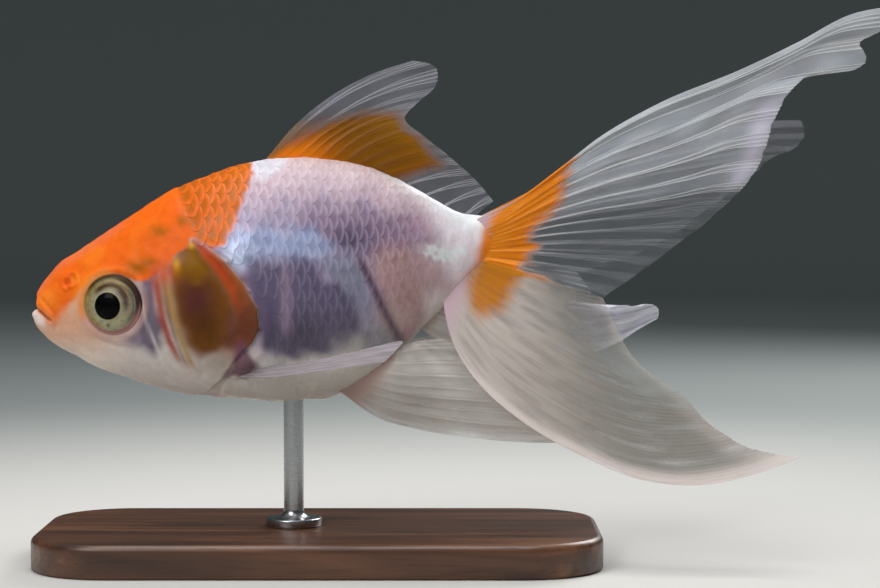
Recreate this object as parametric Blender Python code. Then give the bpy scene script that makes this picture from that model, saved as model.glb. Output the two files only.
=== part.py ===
"""A life-size display model of a young twin-tailed fancy goldfish, swimming, on a plain stand.

The fish swims towards -X with its left side to -Y. Z is up, and the origin is the middle of the
underside of the stand's base. Lengths below are millimetres, which MM turns to Blender's metres.
The fins are surfaces of rays that run from a root line, inside the body, to the fin's outer edge.
"""

import math

import bmesh
import bpy
import numpy as np

MM = 0.001
GAP = 0.3  # clearance between neighbouring solids
FIN_THICK = 0.6

# Body, as stations from the lips to the end of the tail stalk: x, back, belly, half width.
BODY_STATIONS = (
    (-43.0, 38.8, 36.5, 1.0),
    (-42.3, 40.4, 35.0, 2.2),
    (-41.2, 41.9, 33.8, 2.95),
    (-39.0, 44.6, 32.0, 4.0),
    (-36.0, 46.5, 30.35, 5.2),
    (-33.0, 48.5, 28.8, 6.2),
    (-27.0, 52.5, 26.8, 7.8),
    (-21.0, 56.2, 25.1, 9.1),
    (-15.0, 58.6, 24.3, 10.0),
    (-9.0, 60.2, 23.7, 10.5),
    (-3.0, 60.6, 23.7, 10.4),
    (2.5, 60.2, 24.4, 9.9),
    (7.5, 59.1, 26.9, 8.8),
    (12.0, 57.3, 31.0, 7.2),
    (15.0, 55.7, 34.1, 5.9),
    (18.8, 53.4, 38.4, 4.3),
    (22.5, 51.9, 42.0, 3.0),
    (25.5, 51.6, 44.4, 1.6),
    (27.2, 51.2, 46.6, 0.7),
)
BODY_RINGS = 38
RING_POINTS = 24
NOSE_CROWDING = 1.35  # above 1, rings lie closer together at the snout
WIDEST_AT = 0.47  # height of the widest line, as a share of the depth
BACK_POWER = 1.1  # over 1, the back narrows to a ridge
BELLY_POWER = 0.88  # under 1, the belly is full

# Head.
HEAD_ARC = (-28.5, 39.0, 20.4)  # x, z and radius of the arc where the gill covers end
EYE = (-30.2, 5.6, 38.6)
EYE_RADII = (4.4, 2.9, 4.4)
GILL_COVER = (-13.5, 38.5)
GILL_COVER_RADII = (9.0, 10.3)
GILL_COVER_INNER = 4.5  # the covers reach in to this distance from the middle plane
JAW_OUTLINE = (
    (-46.0, 38.2),
    (-43.0, 37.4),
    (-39.8, 35.0),
    (-34.0, 32.0),
    (-29.5, 28.0),
    (-29.5, 22.0),
    (-46.0, 22.0),
)
STALK_START = 16.5  # x where the trunk ends and the tail stalk begins

# Fins. root and edge rows are t, x, y, z, with t 0 on the leading ray and 1 on the last one.
# lead and trail are points that those two rays pass on their way. y is for the left fin.
DORSAL = {
    "root": ((0, -8.8, 0, 59.2), (0.35, 0, 0, 59.2), (0.68, 9, 0, 57.2), (0.86, 16.2, 0, 53.6), (1, 22.4, 0, 50.6)),
    "lead": ((-2.9, 0.0, 65.9), (3.1, 0.3, 70.4), (9.0, 0.8, 73.3)),
    "edge": (
        (0, 14.0, 1.4, 74.9),
        (0.07, 17.3, 1.5, 74.0),
        (0.13, 17.6, 1.4, 71.6),
        (0.24, 14.6, 0.9, 68.5),
        (0.36, 12.8, 0.4, 66.2),
        (0.5, 15.8, 0.0, 63.4),
        (0.66, 19.8, -0.4, 60.2),
        (0.82, 23.4, -0.6, 56.9),
        (1, 26.0, -0.8, 53.8),
    ),
    "trail": ((24.4, -0.5, 52.6),),
    "wave": (0.5, 1.5),
    "grid": (8, 14),
}
TAIL_UPPER_LEFT = {
    "root": ((0, 23.6, -0.9, 51.2), (0.5, 22.8, -1.1, 48.2), (1, 21.6, -1.3, 45.6)),
    "lead": (
        (29.9, -1.5, 54.4),
        (35.9, -2.0, 58.8),
        (41.8, -2.5, 63.4),
        (50.6, -3.0, 68.4),
        (62.5, -3.0, 73.3),
        (71.3, -3.0, 77.5),
        (78.7, -3.0, 81.4),
    ),
    "edge": (
        (0, 87.0, -3.0, 83.0),
        (0.06, 83.4, -3.0, 78.9),
        (0.1, 80.4, -3.0, 77.2),
        (0.13, 81.7, -3.4, 75.2),
        (0.17, 79.6, -3.6, 73.3),
        (0.23, 74.4, -3.8, 73.2),
        (0.3, 70.4, -4.0, 70.6),
        (0.38, 67.6, -4.0, 66.2),
        (0.5, 65.3, -3.2, 59.2),
        (0.68, 58.4, -3.0, 51.4),
        (0.84, 49.8, -3.8, 44.7),
        (1, 42.1, -5.5, 39.5),
    ),
    "trail": ((31.5, -3.2, 42.9),),
    "wave": (1.2, 1.5),
    "grid": (11, 18),
}
TAIL_LOWER_LEFT = {
    "root": ((0, 18.3, -1.7, 40.2), (0.5, 19.8, -1.5, 42.8), (1, 21.6, -1.3, 45.6)),
    "lead": (
        (19.8, -4.6, 33.2),
        (23.9, -8.4, 26.9),
        (29.7, -11.2, 22.0),
        (38.3, -14.0, 17.2),
        (46.8, -16.0, 13.9),
        (55.3, -17.0, 13.2),
        (63.9, -17.0, 15.0),
    ),
    "edge": (
        (0, 69.8, -16.0, 17.1),
        (0.14, 64.2, -15.0, 17.9),
        (0.36, 57.4, -13.5, 21.4),
        (0.56, 53.6, -12.0, 25.4),
        (0.78, 46.4, -8.8, 31.0),
        (1, 42.1, -5.5, 39.5),
    ),
    "trail": ((31.5, -3.2, 42.9),),
    "wave": (0.8, 1.0),
    "grid": (12, 11),
}
TAIL_UPPER_RIGHT = {
    "root": ((0, 23.6, 0.9, 51.2), (0.5, 22.8, 1.1, 48.2), (1, 21.6, 1.3, 45.6)),
    "lead": ((34.0, 5.0, 56.4), (46.0, 11.0, 61.0), (60.0, 18.0, 64.6), (70.0, 22.6, 66.4)),
    "edge": (
        (0, 75.4, 24.0, 66.6),
        (0.12, 76.2, 25.0, 63.8),
        (0.3, 70.1, 26.0, 59.6),
        (0.5, 63.0, 24.0, 54.0),
        (0.75, 52.0, 20.5, 46.8),
        (1, 39.5, 16.5, 42.5),
    ),
    "trail": ((29.6, 7.6, 44.4),),
    "wave": (1.0, -1.5),
    "grid": (10, 11),
}
TAIL_LOWER_RIGHT = {
    "root": ((0, 18.3, 1.7, 40.2), (0.5, 19.8, 1.5, 42.8), (1, 21.6, 1.3, 45.6)),
    "lead": ((21.0, 6.0, 35.6), (28.0, 14.0, 31.4), (37.0, 24.0, 29.2), (46.0, 33.0, 29.9)),
    "edge": (
        (0, 52.4, 38.4, 33.4),
        (0.2, 54.3, 38.0, 34.6),
        (0.36, 53.8, 36.4, 36.2),
        (0.7, 46.6, 27.0, 36.8),
        (0.86, 43.4, 22.0, 37.4),
        (1, 39.5, 16.5, 42.5),
    ),
    "trail": ((29.6, 7.6, 44.4),),
    "wave": (0.7, 1.0),
    "grid": (9, 9),
}
PECTORAL = {
    "root": ((0, -12.8, -5.4, 27.9), (1, -11.0, -5.9, 29.6)),
    "lead": ((-6.6, -12.0, 28.3), (0.8, -16.6, 29.5), (6.6, -18.6, 30.5)),
    "edge": (
        (0, 10.2, -19.0, 31.1),
        (0.35, 12.2, -17.0, 33.0),
        (0.65, 12.6, -14.0, 33.7),
        (1, 9.6, -10.6, 32.9),
    ),
    "trail": ((-2.5, -9.3, 30.0),),
    "wave": (0.15, 1.0),
    "grid": (8, 5),
}
PELVIC = {
    "root": ((0, 2.8, -3.0, 25.7), (0.7, 7.8, -3.2, 28.8), (1, 11.2, -2.2, 31.6)),
    "lead": ((9.1, -3.9, 21.5), (15.0, -4.4, 19.9), (23.9, -5.0, 18.6), (35.8, -5.6, 18.1)),
    "edge": (
        (0, 43.4, -6.0, 18.8),
        (0.25, 42.8, -6.2, 22.3),
        (0.6, 36.0, -5.8, 26.6),
        (0.85, 27.0, -5.0, 30.6),
        (1, 18.4, -4.2, 33.4),
    ),
    "trail": ((14.4, -3.4, 33.0),),
    "wave": (0.5, 1.5),
    "grid": (9, 7),
}
ANAL = {
    "root": ((0, 14.2, -0.7, 35.3), (1, 17.6, -0.7, 39.2)),
    "lead": ((19.9, -1.1, 31.6), (26.9, -1.7, 28.2)),
    "edge": (
        (0, 36.1, -2.4, 24.4),
        (0.3, 38.5, -2.6, 27.6),
        (0.7, 33.6, -2.2, 33.2),
        (1, 26.0, -1.4, 37.0),
    ),
    "trail": ((21.6, -1.0, 38.6),),
    "wave": (0.25, 1.0),
    "grid": (7, 6),
}

# Stand.
BASE_LENGTH, BASE_DEPTH, BASE_HEIGHT = 84.0, 42.0, 5.0
BASE_CORNER, BASE_BEVEL = 12.0, 1.0
ROD_X, ROD_RADIUS, ROD_TOP = -4.0, 1.5, 27.0
FOOT_RADIUS, FOOT_HEIGHT, FOOT_FILLET = 4.2, 1.3, 1.2
ROD_SIDES = 16


def clear_scene():
    for old in list(bpy.data.objects):
        bpy.data.objects.remove(old, do_unlink=True)


def through(knots, rows, at):
    """A smooth curve that passes each row at its knot, read at the values of at."""
    knots, rows, at = (np.asarray(v, float) for v in (knots, rows, at))
    steps = np.diff(knots)[:, None]
    slopes = np.diff(rows, axis=0) / steps
    inner = (slopes[:-1] * steps[1:] + slopes[1:] * steps[:-1]) / (steps[:-1] + steps[1:])
    tangents = np.vstack([slopes[:1], inner, slopes[-1:]])
    i = np.clip(np.searchsorted(knots, at, side="right") - 1, 0, len(knots) - 2)
    h = steps[i]
    u = ((at - knots[i]) / (knots[i + 1] - knots[i]))[:, None]
    ends = rows[i] * (1 + 2 * u) * (1 - u) ** 2 + rows[i + 1] * u**2 * (3 - 2 * u)
    return ends + h * (tangents[i] * u * (1 - u) ** 2 - tangents[i + 1] * u**2 * (1 - u))


def along(points, at):
    """A smooth curve through points, read at shares of its length."""
    points = np.asarray(points, float)
    lengths = np.linalg.norm(np.diff(points, axis=0), axis=1)
    knots = np.concatenate([[0], np.cumsum(lengths)]) / lengths.sum()
    return through(knots, points, at)


def mesh_object(name, points, faces, colour=(0.8, 0.8, 0.8), roughness=0.4, metallic=0.0):
    mesh = bpy.data.meshes.new(name)
    mesh.from_pydata([tuple(p * MM for p in point) for point in points], [], faces)
    mesh.update()
    shape = bmesh.new()
    shape.from_mesh(mesh)
    bmesh.ops.recalc_face_normals(shape, faces=shape.faces)
    shape.to_mesh(mesh)
    shape.free()
    mesh.shade_smooth()
    made = bpy.data.objects.new(name, mesh)
    bpy.context.scene.collection.objects.link(made)
    material = bpy.data.materials.new(name)
    material.use_nodes = True
    shader = material.node_tree.nodes["Principled BSDF"]
    shader.inputs["Base Color"].default_value = (*colour, 1)
    shader.inputs["Roughness"].default_value = roughness
    shader.inputs["Metallic"].default_value = metallic
    mesh.materials.append(material)
    return made


def helper(made):
    """Marks a cutter or a region, which isn't part of the model."""
    made.hide_render = True
    made.display_type = "WIRE"
    return made


def combine(made, operation, other):
    step = made.modifiers.new(operation.lower(), "BOOLEAN")
    step.operation = operation
    step.solver = "EXACT"
    step.object = other


def tube_faces(rings, sides):
    """Faces of a closed solid made of rings of points, with its two ends filled."""
    faces = [
        (r * sides + i, r * sides + (i + 1) % sides, (r + 1) * sides + (i + 1) % sides, (r + 1) * sides + i)
        for r in range(rings - 1)
        for i in range(sides)
    ]
    faces.append(tuple(range(sides)))
    faces.append(tuple((rings - 1) * sides + i for i in range(sides)))
    return faces


def body(name, grow=0.0, colour=(0.8, 0.8, 0.8)):
    """The whole fish without fins, as a stack of oval rings, grown outwards by grow."""
    stations = np.array(BODY_STATIONS)
    share = np.linspace(0, 1, BODY_RINGS) ** NOSE_CROWDING
    reach = stations[0, 0] + share * (stations[-1, 0] - stations[0, 0])
    outline = through(stations[:, 0], stations[:, 1:], reach)
    points = []
    for x, (back, belly, half) in zip(reach, outline):
        middle = belly + WIDEST_AT * (back - belly)
        for k in range(RING_POINTS):
            turn = 2 * math.pi * k / RING_POINTS
            rise, out = math.cos(turn), math.sin(turn)
            power = BACK_POWER if rise > 0 else BELLY_POWER
            height = back - middle if rise > 0 else middle - belly
            y = math.copysign((half + grow) * abs(out) ** power, out)
            points.append((x, y, middle + rise * (height + grow)))
    if grow:
        # The first and last rings move out too, so that the ends grow as the sides do.
        points[:RING_POINTS] = [(x - grow, y, z) for x, y, z in points[:RING_POINTS]]
        points[-RING_POINTS:] = [(x + grow, y, z) for x, y, z in points[-RING_POINTS:]]
    return mesh_object(name, points, tube_faces(BODY_RINGS, RING_POINTS), colour)


def prism(name, outline, y_from, y_to):
    """An outline in the side view, as a solid between two distances across the fish."""
    sides = len(outline)
    points = [(x, y, z) for y in (y_from, y_to) for x, z in outline]
    return helper(mesh_object(name, points, tube_faces(2, sides)))


def oval(centre, radii, sides=36):
    turns = [2 * math.pi * i / sides for i in range(sides)]
    return [(centre[0] + radii[0] * math.cos(a), centre[1] + radii[1] * math.sin(a)) for a in turns]


def shifted_out(outline, by):
    """A polygon with each side moved outwards."""
    count = len(outline)
    area = sum(a[0] * b[1] - b[0] * a[1] for a, b in zip(outline, [*outline[1:], outline[0]]))
    turn = math.copysign(1, area)
    moved = []
    for i, (x, z) in enumerate(outline):
        normals = []
        for a, b in ((outline[i - 1], outline[i]), (outline[i], outline[(i + 1) % count])):
            length = math.dist(a, b)
            normals.append((turn * (b[1] - a[1]) / length, -turn * (b[0] - a[0]) / length))
        nx, nz = normals[0][0] + normals[1][0], normals[0][1] + normals[1][1]
        scale = by * 2 / (nx * nx + nz * nz)
        moved.append((x + nx * scale, z + nz * scale))
    return moved


def ellipsoid(name, centre, radii, colour, roughness, rings=10, sides=18):
    points = []
    for r in range(rings):
        tilt = math.pi * (r + 0.5) / rings
        for i in range(sides):
            turn = 2 * math.pi * i / sides
            x = centre[0] + radii[0] * math.sin(tilt) * math.cos(turn)
            z = centre[2] + radii[2] * math.sin(tilt) * math.sin(turn)
            points.append((x, centre[1] + radii[1] * math.cos(tilt), z))
    return mesh_object(name, points, tube_faces(rings, sides), colour, roughness)


def head_and_body():
    """The head, lower jaw, gill covers, trunk and tail stalk, parted by thin cuts."""
    orange, white, pink = (0.9, 0.24, 0.03), (0.85, 0.8, 0.76), (0.7, 0.55, 0.6)
    arc_x, arc_z, arc_r = HEAD_ARC
    wide = 20.0
    head_region = prism("head_region", oval((arc_x, arc_z), (arc_r, arc_r), 72), -wide, wide)
    beyond_head = prism(
        "beyond_head", oval((arc_x, arc_z), (arc_r + GAP, arc_r + GAP), 72), -wide, wide
    )
    jaw_region = prism("jaw_region", JAW_OUTLINE, -wide, wide)
    jaw_room = prism("jaw_room", shifted_out(JAW_OUTLINE, GAP), -wide, wide)
    far, low, high = 40.0, 20.0, 80.0
    stalk_region = prism(
        "stalk_region",
        [(STALK_START + GAP, low), (far, low), (far, high), (STALK_START + GAP, high)],
        -wide,
        wide,
    )
    stalk_room = prism(
        "stalk_room",
        [(STALK_START, low), (far, low), (far, high), (STALK_START, high)],
        -wide,
        wide,
    )

    head = body("head", colour=orange)
    combine(head, "INTERSECT", head_region)
    combine(head, "DIFFERENCE", jaw_room)
    jaw = body("lower_jaw", colour=white)
    combine(jaw, "INTERSECT", jaw_region)
    for side, name in ((-1, "left"), (1, "right")):
        room = prism(
            f"gill_room_{name}",
            oval(GILL_COVER, [r + GAP for r in GILL_COVER_RADII]),
            side * (GILL_COVER_INNER - GAP),
            side * wide,
        )
        combine(head, "DIFFERENCE", room)
        region = prism(
            f"gill_region_{name}", oval(GILL_COVER, GILL_COVER_RADII), side * GILL_COVER_INNER, side * wide
        )
        cover = body(f"gill_cover_{name}", colour=(0.45, 0.2, 0.08))
        combine(cover, "INTERSECT", region)
        combine(cover, "INTERSECT", head_region)
        centre = (EYE[0], side * EYE[1], EYE[2])
        ellipsoid(f"eye_{name}", centre, EYE_RADII, (0.02, 0.02, 0.03), 0.1)
        socket = ellipsoid(f"socket_{name}", centre, [r + GAP for r in EYE_RADII], (0, 0, 0), 0.5)
        combine(head, "DIFFERENCE", helper(socket))

    trunk = body("trunk", colour=pink)
    combine(trunk, "DIFFERENCE", beyond_head)
    combine(trunk, "DIFFERENCE", stalk_room)
    stalk = body("tail_stalk", colour=white)
    combine(stalk, "INTERSECT", stalk_region)


def mirrored(shape):
    """The same fin for the other side of the fish."""
    other = dict(shape)
    other["root"] = [(t, x, -y, z) for t, x, y, z in shape["root"]]
    other["edge"] = [(t, x, -y, z) for t, x, y, z in shape["edge"]]
    other["lead"] = [(x, -y, z) for x, y, z in shape["lead"]]
    other["trail"] = [(x, -y, z) for x, y, z in shape["trail"]]
    return other


def fin_sheet(shape):
    """The fin's middle surface: one row of points from root to edge for each ray."""
    spans, rays = shape["grid"]
    s, t = np.linspace(0, 1, spans + 1), np.linspace(0, 1, rays + 1)
    root, edge = (np.array(shape[k], float) for k in ("root", "edge"))
    starts, ends = (through(rows[:, 0], rows[:, 1:], t) for rows in (root, edge))
    sheet = starts[:, None] + (ends - starts)[:, None] * s[None, :, None]
    for ray, way, near in ((0, "lead", 1 - t), (-1, "trail", t)):
        path = along([starts[ray], *shape[way], ends[ray]], s)
        bow = path - (starts[ray] + (ends[ray] - starts[ray]) * s[:, None])
        sheet += (near**1.5)[:, None, None] * bow[None]
    size, count = shape["wave"]
    sheet[..., 1] += size * s[None] ** 2 * np.sin(2 * math.pi * count * t)[:, None]
    return sheet


def fin(name, shape, colour, room):
    """A fin as a closed solid of even thickness, ending short of the body."""
    sheet = fin_sheet(shape)
    rays, spans = sheet.shape[:2]
    across = np.gradient(sheet, axis=0)
    out = np.gradient(sheet, axis=1)
    normal = np.cross(across, out)
    normal /= np.linalg.norm(normal, axis=2, keepdims=True)
    half = FIN_THICK / 2
    points = np.concatenate([(sheet + normal * half).reshape(-1, 3), (sheet - normal * half).reshape(-1, 3)])
    back = rays * spans
    faces = []
    for i in range(rays - 1):
        for j in range(spans - 1):
            a, b, c, d = (i * spans + j, (i + 1) * spans + j, (i + 1) * spans + j + 1, i * spans + j + 1)
            faces += [(a, b, c, d), (back + d, back + c, back + b, back + a)]
    rim = [i * spans for i in range(rays)]
    rim += [(rays - 1) * spans + j for j in range(1, spans)]
    rim += [i * spans + spans - 1 for i in reversed(range(rays - 1))]
    rim += [j for j in reversed(range(1, spans - 1))]
    for a, b in zip(rim, [*rim[1:], rim[0]]):
        faces.append((b, a, back + a, back + b))
    made = mesh_object(name, points, faces, colour, 0.35)
    combine(made, "DIFFERENCE", room)
    return made


def fins():
    room = helper(body("body_room", GAP))
    milky, amber = (0.85, 0.85, 0.84), (0.85, 0.45, 0.1)
    fin("dorsal_fin", DORSAL, amber, room)
    fin("tail_upper_left", TAIL_UPPER_LEFT, milky, room)
    fin("tail_lower_left", apart(TAIL_LOWER_LEFT), milky, room)
    fin("tail_upper_right", TAIL_UPPER_RIGHT, milky, room)
    fin("tail_lower_right", apart(TAIL_LOWER_RIGHT), milky, room)
    for name, shape in (("pectoral", PECTORAL), ("pelvic", PELVIC), ("anal", ANAL)):
        fin(f"{name}_left", shape, milky, room)
        fin(f"{name}_right", mirrored(shape), milky, room)


def apart(shape):
    """A lower tail lobe, ending a little short of the ray that the two lobes share."""
    short = dict(shape)
    for line in ("root", "edge"):
        rows = [list(row) for row in shape[line]]
        rows[-1][3] -= 2 * GAP
        short[line] = rows
    short["trail"] = [(x, y, z - 2 * GAP) for x, y, z in shape["trail"]]
    return short


def turned(name, profile, x, colour, roughness, metallic):
    """A solid of revolution about an upright axis. profile runs up its outer side."""
    points = []
    for radius, z in profile:
        for i in range(ROD_SIDES):
            turn = 2 * math.pi * i / ROD_SIDES
            points.append((x + radius * math.cos(turn), radius * math.sin(turn), z))
    faces = tube_faces(len(profile), ROD_SIDES)
    return mesh_object(name, points, faces, colour, roughness, metallic)


def stand():
    outline = []
    turns = 8
    for corner in range(4):
        cx = (BASE_LENGTH / 2 - BASE_CORNER) * (1 if corner in (0, 3) else -1)
        cy = (BASE_DEPTH / 2 - BASE_CORNER) * (1 if corner in (0, 1) else -1)
        for i in range(turns + 1):
            angle = math.pi / 2 * (corner + i / turns)
            outline.append((cx + BASE_CORNER * math.cos(angle), cy + BASE_CORNER * math.sin(angle)))
    points = []
    for z, inset in ((0, 0), (BASE_HEIGHT - BASE_BEVEL, 0), (BASE_HEIGHT, BASE_BEVEL)):
        scale_x, scale_y = 1 - 2 * inset / BASE_LENGTH, 1 - 2 * inset / BASE_DEPTH
        points += [(x * scale_x, y * scale_y, z) for x, y in outline]
    mesh_object("stand_base", points, tube_faces(3, len(outline)), (0.18, 0.09, 0.05), 0.4)
    foot = BASE_HEIGHT + GAP
    profile = [(FOOT_RADIUS, foot), (FOOT_RADIUS, foot + FOOT_HEIGHT)]
    for i in range(5):
        angle = math.pi / 2 * i / 4
        radius = ROD_RADIUS + FOOT_FILLET * (1 - math.sin(angle))
        profile.append((radius, foot + FOOT_HEIGHT + FOOT_FILLET * (1 - math.cos(angle))))
    profile.append((ROD_RADIUS, ROD_TOP))
    rod = turned("stand_rod", profile, ROD_X, (0.6, 0.6, 0.62), 0.25, 1.0)
    combine(rod, "DIFFERENCE", bpy.data.objects["body_room"])


clear_scene()
head_and_body()
fins()
stand()
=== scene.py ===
"""A young fancy goldfish, life size, as a still museum model on a walnut and steel stand.

The fish swims towards -X with its left side to -Y, and Z is up. Lengths are millimetres, measured
from the middle of the stand's underside, and MM turns them to metres. The fish's two sides are
alike but for its tail.
"""

import math

import bpy
import numpy as np
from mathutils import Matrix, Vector


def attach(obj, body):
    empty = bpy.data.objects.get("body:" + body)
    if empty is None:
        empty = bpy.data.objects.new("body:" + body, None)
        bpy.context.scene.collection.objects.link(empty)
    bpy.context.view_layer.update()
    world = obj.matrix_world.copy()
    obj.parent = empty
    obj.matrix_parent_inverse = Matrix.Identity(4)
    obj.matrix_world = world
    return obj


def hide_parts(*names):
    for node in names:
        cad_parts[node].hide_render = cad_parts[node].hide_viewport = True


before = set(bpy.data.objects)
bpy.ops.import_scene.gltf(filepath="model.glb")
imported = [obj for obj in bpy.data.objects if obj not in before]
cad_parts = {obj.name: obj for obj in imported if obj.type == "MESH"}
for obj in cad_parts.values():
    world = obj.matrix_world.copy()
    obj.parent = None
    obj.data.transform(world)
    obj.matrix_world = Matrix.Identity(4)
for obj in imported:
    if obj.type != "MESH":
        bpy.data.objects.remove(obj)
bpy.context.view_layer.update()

# ------------------------------------------------------------------ shape of the head and body
# Muscle over a backbone, deepest behind the head and thin at the tail. It is set out as oval rings
# along the fish, a little fuller below the middle than above it, and blunt at the lips.

MM = 0.001
GIRTH = np.array(
    [  # x, height of the back, height of the belly, half width
        (-43.3, 39.4, 36, 1.5), (-42.3, 40.6, 34.9, 2.35), (-41.2, 42, 33.75, 2.95),
        (-39, 44.65, 32, 4), (-36, 46.5, 30.35, 5.2), (-33, 48.5, 28.8, 6.2), (-27, 52.5, 26.8, 7.8),
        (-21, 56.2, 25.1, 9.1), (-15, 58.6, 24.3, 10), (-9, 60.2, 23.7, 10.5), (-3, 60.6, 23.7, 10.4),
        (2.5, 60.2, 24.4, 9.9), (7.5, 59.1, 26.9, 8.8), (12, 57.3, 31, 7.2), (15, 55.7, 34.1, 5.9),
        (18.8, 53.4, 38.4, 4.3), (22.5, 51.9, 42, 3), (25.5, 51.6, 43.6, 1.5), (28, 52, 43.8, 0.7),
        (29.6, 51.8, 44.6, 0.35), (31, 51, 45.8, 0.12),
    ]
)
TIP, TAIL_END = GIRTH[0, 0], GIRTH[-1, 0]
BLUNT = 1.8  # how far back from the tip the lips are rounded
WIDEST_AT = 0.47  # height of the widest line, as a share of the depth
BACK_POWER, BELLY_POWER = 1.1, 0.88  # over 1 narrows the back to a ridge, under 1 fills the belly


def through(knots, rows, at):
    """A smooth curve that passes each row at its knot, read at the values of at."""
    knots, rows, at = (np.asarray(v, float) for v in (knots, rows, at))
    steps = np.diff(knots)[:, None]
    slopes = np.diff(rows, axis=0) / steps
    inner = (slopes[:-1] * steps[1:] + slopes[1:] * steps[:-1]) / (steps[:-1] + steps[1:])
    tangents = np.vstack([slopes[:1], inner, slopes[-1:]])
    i = np.clip(np.searchsorted(knots, at, side="right") - 1, 0, len(knots) - 2)
    h = steps[i]
    u = ((at - knots[i]) / (knots[i + 1] - knots[i]))[:, None]
    ends = rows[i] * (1 + 2 * u) * (1 - u) ** 2 + rows[i + 1] * u**2 * (3 - 2 * u)
    return ends + h * (tangents[i] * u * (1 - u) ** 2 - tangents[i + 1] * u**2 * (1 - u))


def girth(x):
    """Heights of the back, belly and widest line, and the half width, at each x."""
    back, belly, half = through(GIRTH[:, 0], GIRTH[:, 1:], x).T
    widest = belly + WIDEST_AT * (back - belly)
    blunt = np.sqrt(1 - (1 - np.clip((x - TIP) / BLUNT, 0, 1)) ** 2)
    return widest + (back - widest) * blunt, widest + (belly - widest) * blunt, widest, half * blunt


def body_at(x, turn):
    """Places on the body: turn is 0 on the back, a quarter circle on the right side, half below."""
    back, belly, widest, half = girth(x)
    rise, wide = np.cos(turn), np.sin(turn)
    power = np.where(rise > 0, BACK_POWER, BELLY_POWER)
    y = np.sign(wide) * half * np.abs(wide) ** power
    return np.stack([x, y, widest + rise * np.where(rise > 0, back - widest, widest - belly)], -1)


def outward_at(x, turn):
    """The body's outward directions at the same places."""
    x = np.maximum(x, TIP + 0.02)
    back_way = body_at(x + 0.02, turn) - body_at(x - 0.02, turn)
    round_way = body_at(x, turn + 0.01) - body_at(x, turn - 0.01)
    out = np.cross(back_way, round_way)
    return out / np.maximum(np.linalg.norm(out, axis=-1, keepdims=True), 1e-9)


# ------------------------------------------------------------------ relief of the head
# Skin lies straight on the skull's plates here, so lips, nostrils, eye rims and the gill cover
# stand out as low steps and grooves. Lines and outlines are drawn in the side view, as (x, z).

EYE = np.array([-30.2, 5.5, 38.6])
EYE_RADIUS = 4.4
COAT = 0.3  # how thick the scales lie on the skin
MOUTH = [(-43.6, 38.2), (-42.6, 38.05), (-41.6, 37.4), (-40.6, 36.6), (-39.5, 35.8)]
LIP_FOLD = [(-42, 40), (-40.7, 38.7), (-39.4, 37.2), (-38.9, 35.6), (-39.6, 34.2)]
CHIN_FOLD = [(-40.6, 34.6), (-37.5, 33.2), (-33.5, 31.4), (-29.5, 29.6)]
CHEEK_LINE = [(-34.6, 35.4), (-32.5, 33.6), (-29.8, 32.4), (-27, 32), (-24.8, 33.2)]
CHEEK_EDGE = [(-23.8, 43.6), (-23.2, 40), (-22.6, 36.4), (-21.7, 33.2), (-20.4, 30.6), (-18.8, 28.2)]
CHEEK_RIDGE = [(-22, 43.4), (-21.6, 40.4), (-21, 37.4), (-20, 33.6), (-18.9, 30.6), (-17.6, 28.4)]
GILL_EDGE = [
    (-19, 48.4), (-17.1, 47.8), (-13.4, 45), (-10.5, 41.6), (-8.7, 38.2), (-8.4, 35.3), (-9.5, 33.1),
    (-11.3, 31.6), (-12.7, 29.8), (-14.2, 27.6), (-16.6, 25.6), (-20, 24.6),
]
SCALE_START = [  # scales lie behind this line
    (-23, 64), (-22, 57), (-20.6, 52.6), (-18.6, 49.4), (-16.2, 48), (-12, 45.5), (-9, 42),
    (-7.1, 38.4), (-6.8, 35), (-7.8, 32), (-9.6, 29.8), (-11.8, 28), (-13.8, 26.4), (-15.5, 22),
]
SCALE_END = [(23.6, 56), (22.6, 50), (21.6, 46), (19.4, 41), (17.6, 36), (17, 30)]
NOSTRILS = [(-37.35, 41.65, 0.42, 0.36), (-36.5, 42.2, 0.5, 0.38)]  # x, z, radius and depth


def smooth(value, low, high):
    """A soft step from 0 at low to 1 at high, either of which may be the greater."""
    share = np.clip((value - low) / (high - low), 0, 1)
    return share * share * (3 - 2 * share)


def band(value, low, full, fall, end):
    """Rises from 0 at low to 1 at full, stays there to fall, and is 0 again at end."""
    return smooth(value, low, full) * smooth(value, end, fall)


def hump(value, wide):
    return np.exp(-((value / wide) ** 2))


def to_line(line, x, z):
    """Distance from a line, above 0 on the left of its way, and how far along it, from 0 to 1."""
    line = np.asarray(line, float)
    steps = np.diff(line, axis=0)
    lengths = np.hypot(*steps.T)
    starts = np.concatenate([[0], np.cumsum(lengths)])
    nearest, along, side = np.full(x.shape, np.inf), np.zeros(x.shape), np.ones(x.shape)
    for (px, pz), (dx, dz), length, start in zip(line, steps, lengths, starts):
        share = np.clip(((x - px) * dx + (z - pz) * dz) / length**2, 0, 1)
        away_x, away_z = x - px - share * dx, z - pz - share * dz
        distance = np.hypot(away_x, away_z)
        closer = distance < nearest
        nearest = np.where(closer, distance, nearest)
        along = np.where(closer, (start + share * length) / starts[-1], along)
        side = np.where(closer, np.sign(dx * away_z - dz * away_x), side)
    return nearest * side, along


def inside(outline, x, z):
    """How far places lie inside a closed outline, and less than 0 outside it."""
    outline = np.asarray(outline, float)
    distance, _ = to_line(np.vstack([outline, outline[:1]]), x, z)
    odd = np.zeros(x.shape, bool)
    for (ax, az), (bx, bz) in zip(outline, np.roll(outline, -1, axis=0)):
        crosses = (az > z) != (bz > z)
        level = bz - az if bz != az else 1.0
        odd ^= crosses & (x < ax + (z - az) / level * (bx - ax))
    return np.where(odd, np.abs(distance), -np.abs(distance))


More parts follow.
